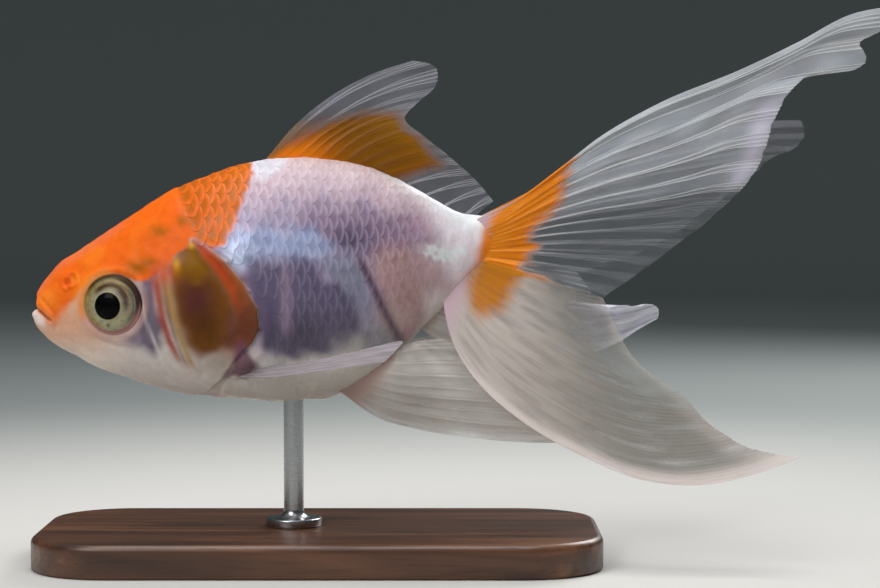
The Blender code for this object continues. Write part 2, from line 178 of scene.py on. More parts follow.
def mottle(place, size, seed, waves=18):
    """Soft random blotches about size across, from about -2 to 2."""
    draw = np.random.default_rng(seed)
    ways = draw.normal(size=(waves, 3))
    rates = 2 * math.pi / size * draw.uniform(0.5, 1.3, (waves, 1))
    ways *= rates / np.linalg.norm(ways, axis=1, keepdims=True)
    return np.cos(place @ ways.T + draw.uniform(0, 2 * math.pi, waves)).sum(1) * math.sqrt(2 / waves)


def scaled_part(x, z):
    """1 where scales cover the skin and 0 on the head and tail, with soft edges."""
    behind, _ = to_line(SCALE_START, x, z)
    before_tail, _ = to_line(SCALE_END, x, z)
    return smooth(behind, -0.3, 0.9) * smooth(-before_tail, -0.6, 2.0)


def relief(place):
    """How far the skin stands out from the plain rings."""
    x, y, z = place.T
    side = smooth(np.abs(y), 1.0, 3.0)
    height = 0.05 * mottle(place, 7, 3) + 0.02 * mottle(place, 2.2, 4)

    slit, along = to_line(MOUTH, x, z)  # above 0 over the mouth
    lips = smooth(along, 1.0, 0.7)
    front = smooth(x, -41.9, -42.9)
    upper_lip = band(slit, 0.0, 0.4, 1.2, 2.2)
    height -= front * (0.6 * upper_lip + 0.25 * smooth(slit, 0.2, -0.2))
    height -= front * 0.95 * hump(slit + 0.2, 0.6)
    height += lips * (0.1 * hump(slit - 0.7, 0.5) + 0.42 * hump(slit + 1.5, 0.75))
    height -= smooth(along, 1.0, 0.85) * 0.6 * hump(slit, 0.2)
    fold, along = to_line(LIP_FOLD, x, z)
    height -= 0.2 * hump(fold, 0.3) * band(along, 0, 0.25, 0.8, 1)
    fold, along = to_line(CHIN_FOLD, x, z)
    height -= 0.12 * hump(fold, 0.5) * band(along, 0, 0.2, 0.7, 1)

    for px, pz, radius, deep in NOSTRILS:
        away = np.hypot(x - px, (z - pz) * 0.8)
        height += side * (0.16 * hump(away - radius * 1.7, 0.2) - deep * hump(away, radius))

    ring = np.hypot(x - EYE[0], z - EYE[2])
    height += side * 0.3 * hump(ring - 5.2, 0.6)
    height -= side * 1.6 * smooth(ring, 4.5, 3.5)
    # The head widens towards the tail, and its skin dips there to the plane that the eye lies in.
    height -= side * 0.3 * smooth(ring, 7.2, 4.2) * smooth(x - EYE[0], -1.0, 3.5)
    height += side * 0.25 * smooth(ring, 6.5, 4.2) * smooth(EYE[0] - x, 0.0, 3.5)

    groove, along = to_line(CHEEK_LINE, x, z)
    height -= 0.14 * hump(groove, 0.4) * band(along, 0, 0.3, 0.7, 1)
    groove, along = to_line(CHEEK_EDGE, x, z)
    height -= 0.26 * hump(groove, 0.32) * band(along, 0, 0.15, 0.85, 1)
    height += 0.16 * hump(groove + 1.1, 0.9) * band(along, 0, 0.2, 0.8, 1)
    ridge, along = to_line(CHEEK_RIDGE, x, z)
    height += 0.22 * hump(ridge, 0.42) * band(along, 0, 0.2, 0.8, 1)

    edge, along = to_line(GILL_EDGE, x, z)
    edge = -edge  # above 0 in front of the edge, on the cover
    ends = band(along, 0.02, 0.15, 0.88, 1)
    cover = smooth(edge, -0.22, 0.22) * np.exp(-np.maximum(edge, 0) / 3.2)
    sunk = smooth(-edge, -0.1, 0.3) * np.exp(-np.maximum(-edge, 0) / 0.7)
    height += ends * (0.36 * cover - 0.3 * sunk)
    height -= ends * 0.08 * hump(edge - 2.4, 0.6)

    height += 0.55 * hump(np.hypot(x + 11.0, z - 30.6), 1.7)  # the fleshy root of each side fin
    return height


def skin_places(x, turn):
    """The skin's places, which lie under the scales' thickness where there are scales."""
    base = body_at(x, turn)
    rise = relief(base) - COAT * scaled_part(base[:, 0], base[:, 2])
    return base + outward_at(x, turn) * rise[:, None]


# ------------------------------------------------------------------ markings
# Orange pigment makes a cap on the head, and the rest has little pigment: white, pink and lilac, with the
# slate gut cavity and brown gills showing through. Skin and scales share these colours, and the tail's
# fins start from the same outline. Some light and shade is painted in as colour too: highlights on the
# back, stalk and scales, a blue sheen on the shoulder, and shade round the eye and in the mouth.

CAP = [
    (-44.6, 38.6), (-43, 42.5), (-39, 47), (-33.7, 51.5), (-25.4, 58), (-17.9, 63), (-9.9, 64),
    (-9.9, 57), (-11.1, 54), (-12, 51.1), (-12.8, 49.6), (-13.6, 47.9), (-15.4, 46.6), (-17.1, 47.9),
    (-18.5, 48.1), (-19.9, 46.4), (-21.6, 44.9), (-23.2, 43.4), (-24.4, 42.9), (-25.4, 42.2),
    (-26.4, 41.5), (-27.6, 42.2), (-30.5, 43.2), (-33.4, 42.2), (-34.8, 40.8), (-36, 39.2), (-37.6, 38),
    (-38.9, 36.2), (-39.6, 35.8), (-40.6, 36.6), (-41.8, 37.6), (-43, 38.2),
]
GILL_WINDOW = [
    (-20.9, 43.4), (-19.3, 45.4), (-18.3, 47.6), (-17, 45.4), (-14.8, 42.8), (-13.1, 40), (-12.6, 37.6),
    (-12.9, 34.6), (-14.6, 32), (-16.8, 31.3), (-18.3, 33), (-19.8, 36.8), (-20.8, 40.6),
]
GILL_PLATE = [
    (-22.2, 44), (-21, 47.2), (-18, 48), (-14.4, 46.4), (-11, 42.4), (-9.2, 38), (-9, 35), (-11, 32.8),
    (-14.4, 32.2), (-17.4, 31.2), (-19.4, 32.6), (-20.8, 36.6),
]
GILL_RIM = [(-17.9, 47.4), (-15, 44.9), (-12.6, 41.4), (-11.4, 38), (-11.6, 34.4), (-12.8, 31.6)]
GREY_CHEEK = [
    (-26.3, 43.6), (-24.2, 43.2), (-23.6, 39.4), (-22.9, 35.7), (-22.8, 33), (-24.4, 31.6),
    (-26.1, 32.8), (-26.4, 35), (-25.7, 37.9),
]
CAVITY = [
    (-10.6, 42.6), (-9, 45), (-5, 45.2), (-0.6, 44.8), (1.6, 43), (3.6, 40.8), (6.2, 37.4), (7.2, 34.6),
    (4.1, 32.5), (-2.5, 31.4), (-8.4, 32.2), (-9.4, 36.5),
]
# Where the shoulder's scales shine blue; this sheen is painted in as colour.
BLUE_SHEEN_PATCH = [
    (-13.6, 46.6), (-12.4, 49.2), (-6, 50), (0, 49.4), (2.4, 47.8), (2.4, 46.4), (0, 45.6), (-4, 45.4),
    (-8.6, 45.2), (-11.6, 44.4),
]
CLEAR_BAND = [
    (0, 45), (4, 46), (6.2, 44.6), (9.4, 39), (11.6, 33.6), (10, 31), (7.2, 32.4), (5.2, 38.4),
    (2, 42.6),
]
GUT_LINE = [(5.8, 46.2), (8, 41.8), (9.8, 37.8), (12, 33.2)]
MUSCLE = [
    (7.6, 44.6), (10, 47.4), (14.5, 46.9), (18.4, 45.4), (20, 41.6), (18.6, 38), (14.6, 34.6),
    (12.2, 32.6), (10.2, 37.6),
]
PURPLE_BAND = [
    (-5, 50.2), (0, 51.4), (6, 52), (12.1, 51), (17.5, 48.6), (19, 46.6), (14, 46.8), (8.6, 45.8),
    (4.4, 46.6), (-1, 48.8),
]
# White skin along the top of the stalk, with a painted highlight from the light above.
WHITE_RIDGE_HIGHLIGHT = [(8, 60.6), (12.6, 57.6), (18, 54.8), (22, 52.4), (26.2, 51.4), (29, 52)]
# Pale skin on the nape before the dorsal fin, with a painted highlight where the light from above falls.
WHITE_NAPE_HIGHLIGHT = [(-10.2, 62), (-4.5, 62), (-4.8, 58.8), (-7, 57.6), (-10.4, 57.4)]
TAIL_ORANGE = [
    (26.6, 53.4), (29.9, 56.6), (37.6, 62), (37.2, 58.6), (35.9, 55.2), (34.5, 52.2), (32.2, 50.2),
    (31, 48.6), (32.2, 46.6), (30.2, 44.9), (29.4, 42.5), (28.2, 40.2), (26.9, 38), (24.1, 37.1),
    (22.3, 38.1), (22.6, 41.5), (23.8, 44.6), (24.9, 47.7), (25.7, 50.9),
]
TAIL_STREAK = [(28.6, 43.3), (32.2, 42.7), (36.4, 41.7)]
ROOT_STAIN = [(-11.2, 32.8), (-13.4, 28), (-10.8, 28), (-8.2, 29.2), (-9.6, 31)]
# Painted highlights: glints of light off the scales by the stalk, as x, z, half length, half height and
# brightness.
PAINTED_GLINTS = [(18.9, 46, 1.9, 1.25, 1), (16.6, 46.5, 1.5, 0.85, 0.8), (21.3, 46.3, 0.55, 0.5, 0.7)]
HEAD_SPOTS = [  # x, z, half its length and half its height; the glints' last number is brightness
    (-23.4, 49.4, 1.5, 0.9), (-26.5, 44, 2, 1.1), (-24.9, 44.9, 1, 0.7), (-19.8, 51, 1.1, 0.8),
]


def linear(code):
    """A colour given as sRGB hex, as linear numbers."""
    srgb = np.array([int(code[i : i + 2], 16) / 255 for i in (1, 3, 5)])
    return np.where(srgb <= 0.04045, srgb / 12.92, ((srgb + 0.055) / 1.055) ** 2.4)


def lay(colour, code, cover):
    """Paints a colour over the ones that are there, as thick as cover, from 0 to 1."""
    colour += (linear(code) - colour) * np.clip(cover, 0, 1)[:, None]


def markings(place):
    """The fish's colours at places on its skin or scales, and how silvery it is there."""
    x, y, z = place.T
    back, belly, _, _ = girth(np.clip(x, TIP + 0.5, TAIL_END))
    below_back, above_belly = back - z, z - belly
    rough = mottle(place, 3.0, 11)
    fine = mottle(place, 1.1, 12)

    def spot(middle_x, middle_z, long, tall):
        return hump(np.hypot((x - middle_x) / long, (z - middle_z) / tall), 1.0)

    def patch(outline, blot, low, high):
        return smooth(inside(outline, x, z) + blot * rough, low, high)

    # The bare strip between the gill cover's edge and the scales is coloured as they are.
    behind, _ = to_line(SCALE_START, x, z)
    off_cover, along = to_line(GILL_EDGE, x, z)
    bare = smooth(off_cover, 0.0, 0.25) * smooth(behind, -2.8, -2.2) * smooth(along, 0.02, 0.1)
    trunk = np.maximum(smooth(behind, -0.75, -0.25), bare * smooth(along, 0.8, 0.62))
    head = 1 - trunk

    # Flank: pink and lilac muscle under the back, violet along the middle, and on the shoulder a blue and
    # blue-white sheen of the scales, painted in as colour.
    colour = np.tile(linear("#E9DFD4"), (len(x), 1))
    lay(colour, "#B7A2BE", trunk * smooth(above_belly, 5.0, 12.0))
    lay(colour, "#D9B7C1", trunk * smooth(below_back + 0.5 * rough, 9.0, 4.0))
    lay(colour, "#E3C4BC", trunk * 0.7 * hump(below_back - 0.8, 1.6) * smooth(x, -8, -2))
    lay(colour, "#A98CA0", 0.8 * trunk * hump(below_back - 8.5, 3.2) * smooth(x, -8, 2))
    lay(colour, "#836684", 0.75 * patch(PURPLE_BAND, 0.5, -2.4, 1.6))
    lay(colour, "#B890A2", 0.6 * spot(15.0, 50.2, 4.0, 1.8))
    # Painted sheen: the blue patch and the blue-white spot stand in for light reflected off the
    # shoulder's scales.
    lay(colour, "#A3AED6", 0.9 * patch(BLUE_SHEEN_PATCH, 0.4, -1.8, 1.4))
    lay(colour, "#C9D2E8", trunk * 0.7 * spot(-12.0, 45.6, 2.4, 3.0))
    lay(colour, "#584C66", 0.85 * spot(4.6, 48.2, 2.9, 1.7))

    # Gut cavity, dark through the wall of the belly, and the muscle behind it.
    lay(colour, "#8B8AA0", 0.9 * patch(CLEAR_BAND, 0.3, -1.4, 1.0))
    lay(colour, "#5F5470", 0.92 * patch(CAVITY, 0.4, -1.5, 1.2))
    lay(colour, "#3E3542", 0.6 * spot(-3.0, 34.6, 5.0, 2.6))
    rib = band(z, 33, 36, 43.0, 45.5)
    lay(colour, "#A0879E", 0.7 * hump(x + 4.5, 0.8) * rib)
    lay(colour, "#C09294", 0.95 * patch(MUSCLE, 0.3, -1.8, 1.4))
    lay(colour, "#B47C80", 0.5 * spot(13.6, 38.4, 3.0, 2.4) * (0.8 + 0.2 * fine))
    flakes = smooth(np.sin((x * 0.9 + z * 0.55) * 4.2 + 1.2 * fine), 0.2, 0.95)
    lay(colour, "#D9B39A", 0.3 * flakes * smooth(inside(MUSCLE, x, z), -0.4, 1.6))
    lay(colour, "#E4C0BA", 0.6 * spot(11.2, 36.8, 3.2, 2.6))
    line, along = to_line(GUT_LINE, x, z)
    lay(colour, "#5C3E52", 0.9 * hump(line, 0.55 + 0.3 * along) * smooth(along, 0, 0.12))

    # Stalk, back and nape, which are white, with painted highlights on the stalk's top and the nape, and
    # the scales' brightest glints painted in as white highlights.
    before_stalk = smooth(x - 0.2 * (50 - z), 11.5, 16.5) * smooth(z, 50.0, 47.0)
    lay(colour, "#DDBCC4", 0.55 * before_stalk)
    lay(colour, "#FBEAF1", smooth(x - 0.28 * (50 - z), 15.6, 19.2))
    lay(colour, "#FFF0EC", 0.9 * trunk * smooth(x, 14.2, 17.6) * smooth(z, 42.0, 38.5))
    lay(colour, "#B0A8A2", 0.6 * spot(6.5, 33.0, 4.2, 1.8))
    # Painted highlight: pure white along the top of the stalk, over its white skin, where the light from
    # above falls.
    ridge, along = to_line(WHITE_RIDGE_HIGHLIGHT, x, z)
    lay(colour, "#FFFFFF", hump(ridge, 1.2 + 2.0 * along) * smooth(along, 0.0, 0.25))
    # Painted highlight: the pale nape before the dorsal fin is lightened where the light from above falls
    # on it.
    lay(colour, "#EDE6EE", 0.85 * patch(WHITE_NAPE_HIGHLIGHT, 0.3, -0.8, 0.8))
    # Painted highlights: white glints of light off the scales near the stalk.
    for px, pz, long, tall, bright in PAINTED_GLINTS:
        near = np.hypot((x - px) / long, (z - pz) / tall) + 0.18 * fine
        lay(colour, "#FFFFFF", bright * np.clip(1.5 * hump(near, 0.8), 0, 1))
    silver = 0.3 * trunk * spot(-10.8, 46.2, 3.2, 3.56)

    # Cheek and throat: pale skin, flushed at the front and grey behind the eye.
    lay(colour, "#CFC6C2", 0.75 * head * smooth(x, -33, -27))
    flushed = smooth(x, -30.0, -38.0) * smooth(z + 0.3 * rough, 31.0, 36.5)
    lay(colour, "#E9B08C", head * flushed)
    lay(colour, "#D9A588", head * 0.75 * hump(z - 35.0, 3.6) * smooth(x, -25, -34))
    lay(colour, "#6C6072", 0.95 * patch(GREY_CHEEK, 0.2, -1.2, 0.7))
    lay(colour, "#E6E0E0", 0.7 * hump(x + 25.5 + 0.15 * (z - 38), 0.26) * hump(z - 38.6, 2.6))
    lay(colour, "#E6DEDA", 0.6 * hump(x + 23.9 + 0.35 * (z - 33), 0.3) * hump(z - 33, 2.4))
    lay(colour, "#74627C", head * 0.8 * spot(-27.0, 33.4, 1.53, 1.15))
    lay(colour, "#B4A79C", head * spot(-14.2, 30.2, 3.2, 3.2))

    # Gill cover: a brown window over the gills, with gold flecks above it.
    lay(colour, "#8A5E40", patch(GILL_PLATE, 0.15, -1.3, 1.2))
    window = patch(GILL_WINDOW, 0.12, -0.9, 0.8)
    lay(colour, "#71430F", 0.97 * window)
    lay(colour, "#55262B", 0.85 * window * spot(-17.6, 39.4, 2.6, 3.71))
    lay(colour, "#8A5C02", 0.95 * window * smooth(z + 0.3 * rough, 41.0, 44.4))
    lay(colour, "#3E2A06", 0.5 * window * spot(-16.2, 35.6, 2.2, 2.2))
    lay(colour, "#7C4A1A", 0.6 * window * smooth(x, -15.4, -13.2))
    lay(colour, "#E0A010", 0.8 * head * spot(-20.6, 44.6, 0.6, 1.0))
    lay(colour, "#F0A410", 0.8 * head * spot(-18.4, 47.4, 0.55, 0.55))

    # Cap: orange, with a brighter crown, a redder profile and a few olive spots.
    edge_in = inside(CAP, x, z) + 0.2 * rough + 0.06 * fine
    snout = smooth(x, -34.0, -37.5)
    cap = smooth(edge_in, -0.4 - 0.7 * snout, 0.4 + 0.7 * snout)
    lay(colour, "#EE6811", cap)
    lay(colour, "#F5841C", 0.5 * cap * smooth(mottle(place, 6.0, 13), 0.1, 1.6) * smooth(-x, 20, 34))
    lay(colour, "#E0744E", 0.6 * cap * hump(below_back - 0.3, 1.1) * smooth(-x, 27, 31))
    lay(colour, "#DC500C", 0.3 * cap * smooth(mottle(place, 5.0, 14), 0.2, 1.8))
    lay(colour, "#F07414", 0.6 * cap * smooth(x, -17, -11))
    lay(colour, "#FA8C2C", 0.75 * cap * spot(-40.4, 39.2, 2.0, 2.0))
    lay(colour, "#E4705C", 0.5 * cap * spot(-42.6, 40.9, 1.0, 1.0))
    for px, pz, long, tall in HEAD_SPOTS:
        away = np.hypot((x - px) / long, (z - pz) / tall) + 0.1 * fine
        lay(colour, "#A85E06", 0.88 * cap * hump(away, 0.95))

    # Rims of the gill cover and of the cheek plate, reddened by blood.
    line, along = to_line(GILL_EDGE, x, z)
    on_cover = smooth(along, 0.0, 0.1) * smooth(-line, -0.15, 0.1)
    off_window = smooth(-inside(GILL_WINDOW, x, z), 0.1, 0.8)
    rim = on_cover * smooth(-line, 3.6, 2.2) * smooth(along, 0.78, 0.56) * off_window
    lay(colour, "#98501F", 0.9 * rim)
    lay(colour, "#5E3426", 0.75 * rim * smooth(along, 0.28, 0.5))
    line, along = to_line(GILL_RIM, x, z)
    bright_rim = hump(line, 0.9 - 0.3 * along) * smooth(along, 0.8, 0.35)
    lay(colour, "#BE4C20", 0.85 * bright_rim * off_window)
    low_rim = band(along, 0.5, 0.8, 0.92, 1.0)
    lay(colour, "#6A3A30", 0.75 * hump(line + 0.6, 1.3) * low_rim)
    lay(colour, "#A83222", 0.6 * hump(line - 0.5, 0.35) * smooth(along, 0.6, 0.25))
    line, along = to_line(CHEEK_EDGE, x, z)
    red = band(along, -0.1, 0.15, 0.7, 1.0)
    lay(colour, "#A8402C", 0.88 * hump(line, 0.9 - 0.5 * along) * red)
    line, along = to_line(CHEEK_RIDGE, x, z)
    top_of_ridge = band(along, -0.1, 0.05, 0.3, 0.7)
    lay(colour, "#94684E", 0.85 * hump(line + 0.5, 0.9) * top_of_ridge)
    lay(colour, "#D4603C", 0.85 * spot(-22.4, 43.3, 1.5, 1.88))
    crest = band(along, 0.0, 0.2, 0.85, 1.0)
    lay(colour, "#B08A44", 0.75 * hump(line, 0.5) * crest)
    under_crest = band(along, 0.2, 0.4, 0.8, 1.0)
    lay(colour, "#6E4A2A", 0.5 * hump(line + 0.75, 0.3) * under_crest)
    lay(colour, "#70475A", 0.9 * patch(ROOT_STAIN, 0.15, -0.8, 0.5))

    # Nostrils, the socket round the eye with painted shadow under its upper rim, and the lips with
    # painted shade in their slit.
    nostril_x, nostril_z = NOSTRILS[0][:2]
    lay(colour, "#D0481A", 0.6 * spot(nostril_x + 0.3, nostril_z + 0.25, 0.75, 0.75))
    lay(colour, "#F79A20", 0.6 * spot(-36.1, 42.4, 0.7, 0.7))
    from_eye, over_eye = x - EYE[0], z - EYE[2]
    ring = np.hypot(from_eye, over_eye)
    lay(colour, "#B9928A", 0.6 * hump(ring - 5.0, 0.5) * (1 - cap))
    socket = smooth(ring, 4.7, 4.35) * smooth(np.abs(y), 1, 3)
    lay(colour, "#C0988C", socket)
    # Painted shadow: the socket is darkened above and behind the eye, under the overhanging rim.
    lay(colour, "#54382A", socket * smooth(over_eye + 0.4 * from_eye, -1.0, 2.0))
    brow = smooth(over_eye - from_eye, 1.0, 4.0) * smooth(from_eye, 1.0, -1.5)
    lay(colour, "#EE9440", 0.85 * hump(ring - 4.75, 0.7) * brow)
    slit, along = to_line(MOUTH, x, z)
    lower_lip = band(-slit, 0.1, 0.4, 1.2, 2.2) * smooth(x, -40.2, -41.4)
    lay(colour, "#EBDAD2", 0.9 * lower_lip)
    # Painted shade: a dark line along the slit between the lips.
    lay(colour, "#7E3A28", 0.7 * hump(slit, 0.14) * smooth(along, 1.0, 0.7))

    # The foot of the tail, where its orange starts.
    tail = patch(TAIL_ORANGE, 0.25, -1.9, 0.5)
    lay(colour, "#F58A22", tail)
    lay(colour, "#CE780E", 0.85 * tail * smooth(z, 48, 40))
    return colour, silver


# ------------------------------------------------------------------ skin
# One wet sheet from the lips to the tail, over flesh that lets some light in. It replaces the head,
# jaw, gill covers, trunk and stalk, so no seam shows, and it lies under the scales' thickness.

HEAD_END = -8.0  # finer rings lie before it, for the relief
LIP_RINGS, HEAD_STEP, TRUNK_STEP, AROUND = 16, 0.17, 0.45, 448
MARGIN, ON_MAP = 0.02, 0.96  # of a piece's map: what is left free at the edge, and what is used


def add(tree, kind, inputs=None, give=0, **settings):
    """Adds a shader node and gives one of its outputs. inputs holds its sockets' numbers or feeds."""
    made = tree.nodes.new("ShaderNode" + kind)
    for key, value in settings.items():
        setattr(made, key, value)
    for key, value in (inputs or {}).items():
        if isinstance(value, bpy.types.NodeSocket):
            tree.links.new(value, made.inputs[key])
        else:
            made.inputs[key].default_value = value
    return made.outputs[give]


def new_finish(name, **numbers):
    """A material and its nodes. numbers are the shader's sockets that are the same all over."""
    finish = bpy.data.materials.new(name)
    finish.use_nodes = True
    for key, value in numbers.items():
        shader = finish.node_tree.nodes["Principled BSDF"]
        shader.inputs[key.replace("_", " ")].default_value = value
    return finish, finish.node_tree


def feed(tree, **outputs):
    """Links nodes' outputs to the shader's sockets."""
    for key, value in outputs.items():
        tree.links.new(value, tree.nodes["Principled BSDF"].inputs[key.replace("_", " ")])


def grid_faces(rows, columns, closed=False):
    """Triangles of a sheet of rows and columns of points, and their corners' rows and columns."""
    spans = columns if closed else columns - 1
    row, column = (v.ravel() for v in np.meshgrid(np.arange(rows - 1), np.arange(spans), indexing="ij"))
    corners = [[(0, 0), (1, 0), (1, 1)], [(0, 0), (1, 1), (0, 1)]]
    steps = np.array([[[row + i, column + j] for i, j in three] for three in corners])
    steps = np.moveaxis(steps, -1, 1).reshape(-1, 3, 2)
    return steps[..., 0] * columns + steps[..., 1] % columns, steps


def closed_tube(rings, ring_u, ends=(0.0, 1.0)):
    """A closed skin over rings of points, with a middle point at each end. On its map, ring_u and
    ends place the rings and the middle points, and the other way runs once round the rings."""
    count = len(rings[0])
    around = np.arange(count)
    points = np.concatenate([*rings, rings[0].mean(0)[None], rings[-1].mean(0)[None]])
    faces, steps = grid_faces(len(rings), count, closed=True)
    maps = np.stack([ring_u[steps[..., 0]], steps[..., 1] / count], -1)
    for ring, middle, way in ((0, len(points) - 2, -1), (len(rings) - 1, len(points) - 1, 1)):
        first = ring * count
        fan = [first + around, first + (around + 1) % count, np.full(count, middle)]
        fan_u = [np.full(count, u) for u in (ring_u[ring], ring_u[ring], ends[way > 0])]
        fan_v = [around / count, (around + 1) / count, (around + 0.5) / count]
        faces = np.concatenate([faces, np.stack(fan, 1)[:, ::way]])
        maps = np.concatenate([maps, np.stack([np.stack(fan_u, 1), np.stack(fan_v, 1)], -1)[:, ::way]])
    return points, faces, maps


def new_piece(name, points, faces, uv, finish, slot, nodes, **values):
    """A smooth closed mesh on the one body, in place of the solids named in nodes. values are kept
    at its points, for its finish."""
    a, b, c = (points[faces[:, i]] for i in range(3))
    if np.einsum("ij,ij->i", a, np.cross(b, c)).sum() < 0:
        faces, uv = faces[:, ::-1], uv[:, ::-1]
    mesh = bpy.data.meshes.new(name)
    mesh.from_pydata((points * MM).tolist(), [], faces.tolist())
    mesh.shade_smooth()
    mesh.set_sharp_from_angle(angle=math.radians(55))
    mesh.uv_layers.new(name="OFBake").data.foreach_set("uv", uv.ravel())
    for key, value in values.items():
        if value.ndim == 1:
            mesh.attributes.new(key, "FLOAT", "POINT").data.foreach_set("value", value)
        else:
            rgba = np.concatenate([value, np.ones((len(value), 1))], 1)
            mesh.attributes.new(key, "FLOAT_COLOR", "POINT").data.foreach_set("color", rgba.ravel())
    mesh.materials.append(finish)
    made = bpy.data.objects.new(name, mesh)
    bpy.context.scene.collection.objects.link(made)
    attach(made, "root")
    if nodes:
        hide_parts(*nodes)
    return made


# Wet fish skin is clear slime over thin skin: a soft gloss, light that enters pale flesh and comes
# out redder, and a fine grain that breaks the highlights up.
wet_skin, tree = new_finish(
    "wet_fish_skin",
    IOR=1.38,
    Specular_IOR_Level=0.14,
    Subsurface_Weight=0.28,
    Subsurface_Radius=(1.0, 0.45, 0.3),
    Subsurface_Scale=1.1 * MM,
    Coat_Weight=0.07,
    Coat_Roughness=0.12,
    Coat_IOR=1.34,
)
place = add(tree, "TexCoord", give="Object")
tint = add(tree, "Attribute", attribute_name="tint")
grain = add(tree, "TexNoise", {"Vector": place, "Scale": 1 / (0.9 * MM), "Detail": 5.0})
shade = add(tree, "MapRange", {"Value": grain, "To Min": 0.86, "To Max": 1.14})
speckled = add(tree, "Mix", {0: 1.0, 6: tint, 7: shade}, 2, data_type="RGBA", blend_type="MULTIPLY")
gloss = add(tree, "MapRange", {"Value": grain, "To Min": 0.42, "To Max": 0.62})
pores = add(tree, "TexNoise", {"Vector": place, "Scale": 1 / (0.35 * MM), "Detail": 3.0})
bump = add(tree, "Bump", {"Height": pores, "Strength": 0.25, "Distance": 0.06 * MM})
feed(tree, Base_Color=speckled, Roughness=gloss, Normal=bump)

lip_turns = np.linspace(0, math.pi / 2, LIP_RINGS + 1)[1:]
lip_rings = TIP + BLUNT * (1 - np.cos(lip_turns))
head_rings = np.arange(TIP + BLUNT + HEAD_STEP, HEAD_END, HEAD_STEP)
trunk_rings = np.linspace(HEAD_END, TAIL_END, round((TAIL_END - HEAD_END) / TRUNK_STEP))
rings = np.concatenate([lip_rings, head_rings, trunk_rings])
turns = np.linspace(-math.pi, math.pi, AROUND, endpoint=False)
ring_x, ring_turn = (v.ravel() for v in np.meshgrid(rings, turns, indexing="ij"))
skin_points = skin_places(ring_x, ring_turn)
circles = skin_points.reshape(len(rings), AROUND, 3)
gaps = np.linalg.norm(np.diff(circles, axis=0), axis=2).mean(1)
travel = np.concatenate([[0], np.cumsum(gaps)])
skin_points, skin_faces, skin_uv = closed_tube(circles, MARGIN + ON_MAP * travel / travel[-1])
skin_colour, _ = markings(skin_points)
FLESH = ("head", "lower_jaw", "gill_cover_left", "gill_cover_right", "trunk", "tail_stalk")
new_piece("skin", skin_points, skin_faces, skin_uv, wet_skin, "orange_skin", FLESH, tint=skin_colour)

# ------------------------------------------------------------------ eyes
# Each is a globe that faces out and a little forwards, set in the skull with no lid: a clear dome
# over a metallic iris, and the black round lens standing out through it.

EYE_TILT = math.radians(13)  # how far each eye looks forwards
EYE_FACE = 6.5  # how far out the middle of the eye's rim is
DOME_RISE, LENS_RISE, BOWL_DEPTH = 1.5, 0.32, 2.2
FACE_ON_MAP = 0.39  # how far the face reaches from the middle of its map
PUPIL = np.array([-0.36, -0.14])  # the pupil's middle, from the iris's, forwards being below 0
PUPIL_RADIUS, IRIS_RADIUS = 2.02, 4.05
EYE_ROWS, BACK_ROWS, EYE_SPOKES = 96, 12, 180


def iris_colours(x, z):
    """Colours of the iris at places on its face, and how metallic it is. x runs towards the tail."""
    radius, way = np.hypot(x, z), np.degrees(np.arctan2(z, x))
    pupil = np.hypot(x - PUPIL[0], z - PUPIL[1])
    fibres = np.sin(np.radians(way) * 46 + 3 * np.sin(radius * 2.3)) * 0.5 + 0.5
    rough = mottle(np.stack([x, z, x * 0], 1), 0.8, 21)

    def arc(middle, half, soft=18):
        return smooth(half - np.abs((way - middle + 180) % 360 - 180), -soft, soft)

    colour = np.tile(linear("#A59C84"), (len(x), 1))
    lay(colour, "#B3B08C", 0.9 * arc(-90, 55) * hump(radius - 2.8, 0.8))
    lay(colour, "#A08E48", 0.9 * arc(185, 60) * hump(radius - 3.6, 0.42))
    # Painted shadow: a dark brown arc across the top of the iris, where the socket's rim shades it.
    lay(colour, "#432C02", 0.97 * arc(80, 62) * hump(radius - 2.93, 0.52))
    lay(colour, "#A37C44", 0.8 * arc(80, 62) * hump(radius - 3.5, 0.13))
    lay(colour, "#6E6840", 0.9 * arc(95, 60) * hump(radius - 3.86, 0.18))
    lay(colour, "#54403E", 0.9 * arc(25, 38) * hump(radius - 2.5, 0.42))
    lay(colour, "#A98A5E", 0.8 * arc(8, 45) * hump(radius - 3.1, 0.15))
    lay(colour, "#646A5C", 0.85 * arc(0, 48) * hump(radius - 3.5, 0.26))
    lay(colour, "#3F4E2A", 0.85 * hump(np.hypot(x + 0.4, z + 3.0), 0.28))
    colour *= (0.86 + 0.1 * fibres * smooth(radius, 2.0, 2.6))[:, None]
    lay(colour, "#4A3A28", 0.25 * smooth(rough, 0.2, 1.5))
    lay(colour, "#A9A478", 0.8 * hump(pupil - PUPIL_RADIUS - 0.1, 0.08))
    lay(colour, "#8E7A40", smooth(radius, IRIS_RADIUS - 0.12, IRIS_RADIUS + 0.08))
    # Painted shadow from the socket's rim: dark at the upper back and along the top edge of the iris.
    lay(colour, "#352126", 0.95 * arc(22, 55) * smooth(radius, 3.62, 3.9))
    lay(colour, "#42321E", 0.95 * arc(95, 60) * smooth(radius, 3.86, 4.08))
    lay(colour, "#A0706E", 0.9 * arc(-85, 70) * smooth(radius, 3.72, 3.95))
    lay(colour, "#B89088", 0.9 * arc(-85, 80) * smooth(radius, 4.1, 4.3))
    lay(colour, "#010102", smooth(pupil, PUPIL_RADIUS + 0.06, PUPIL_RADIUS - 0.06))
    metal = smooth(pupil, PUPIL_RADIUS, PUPIL_RADIUS + 0.2) * smooth(radius, 4.1, 3.9)
    return colour, metal


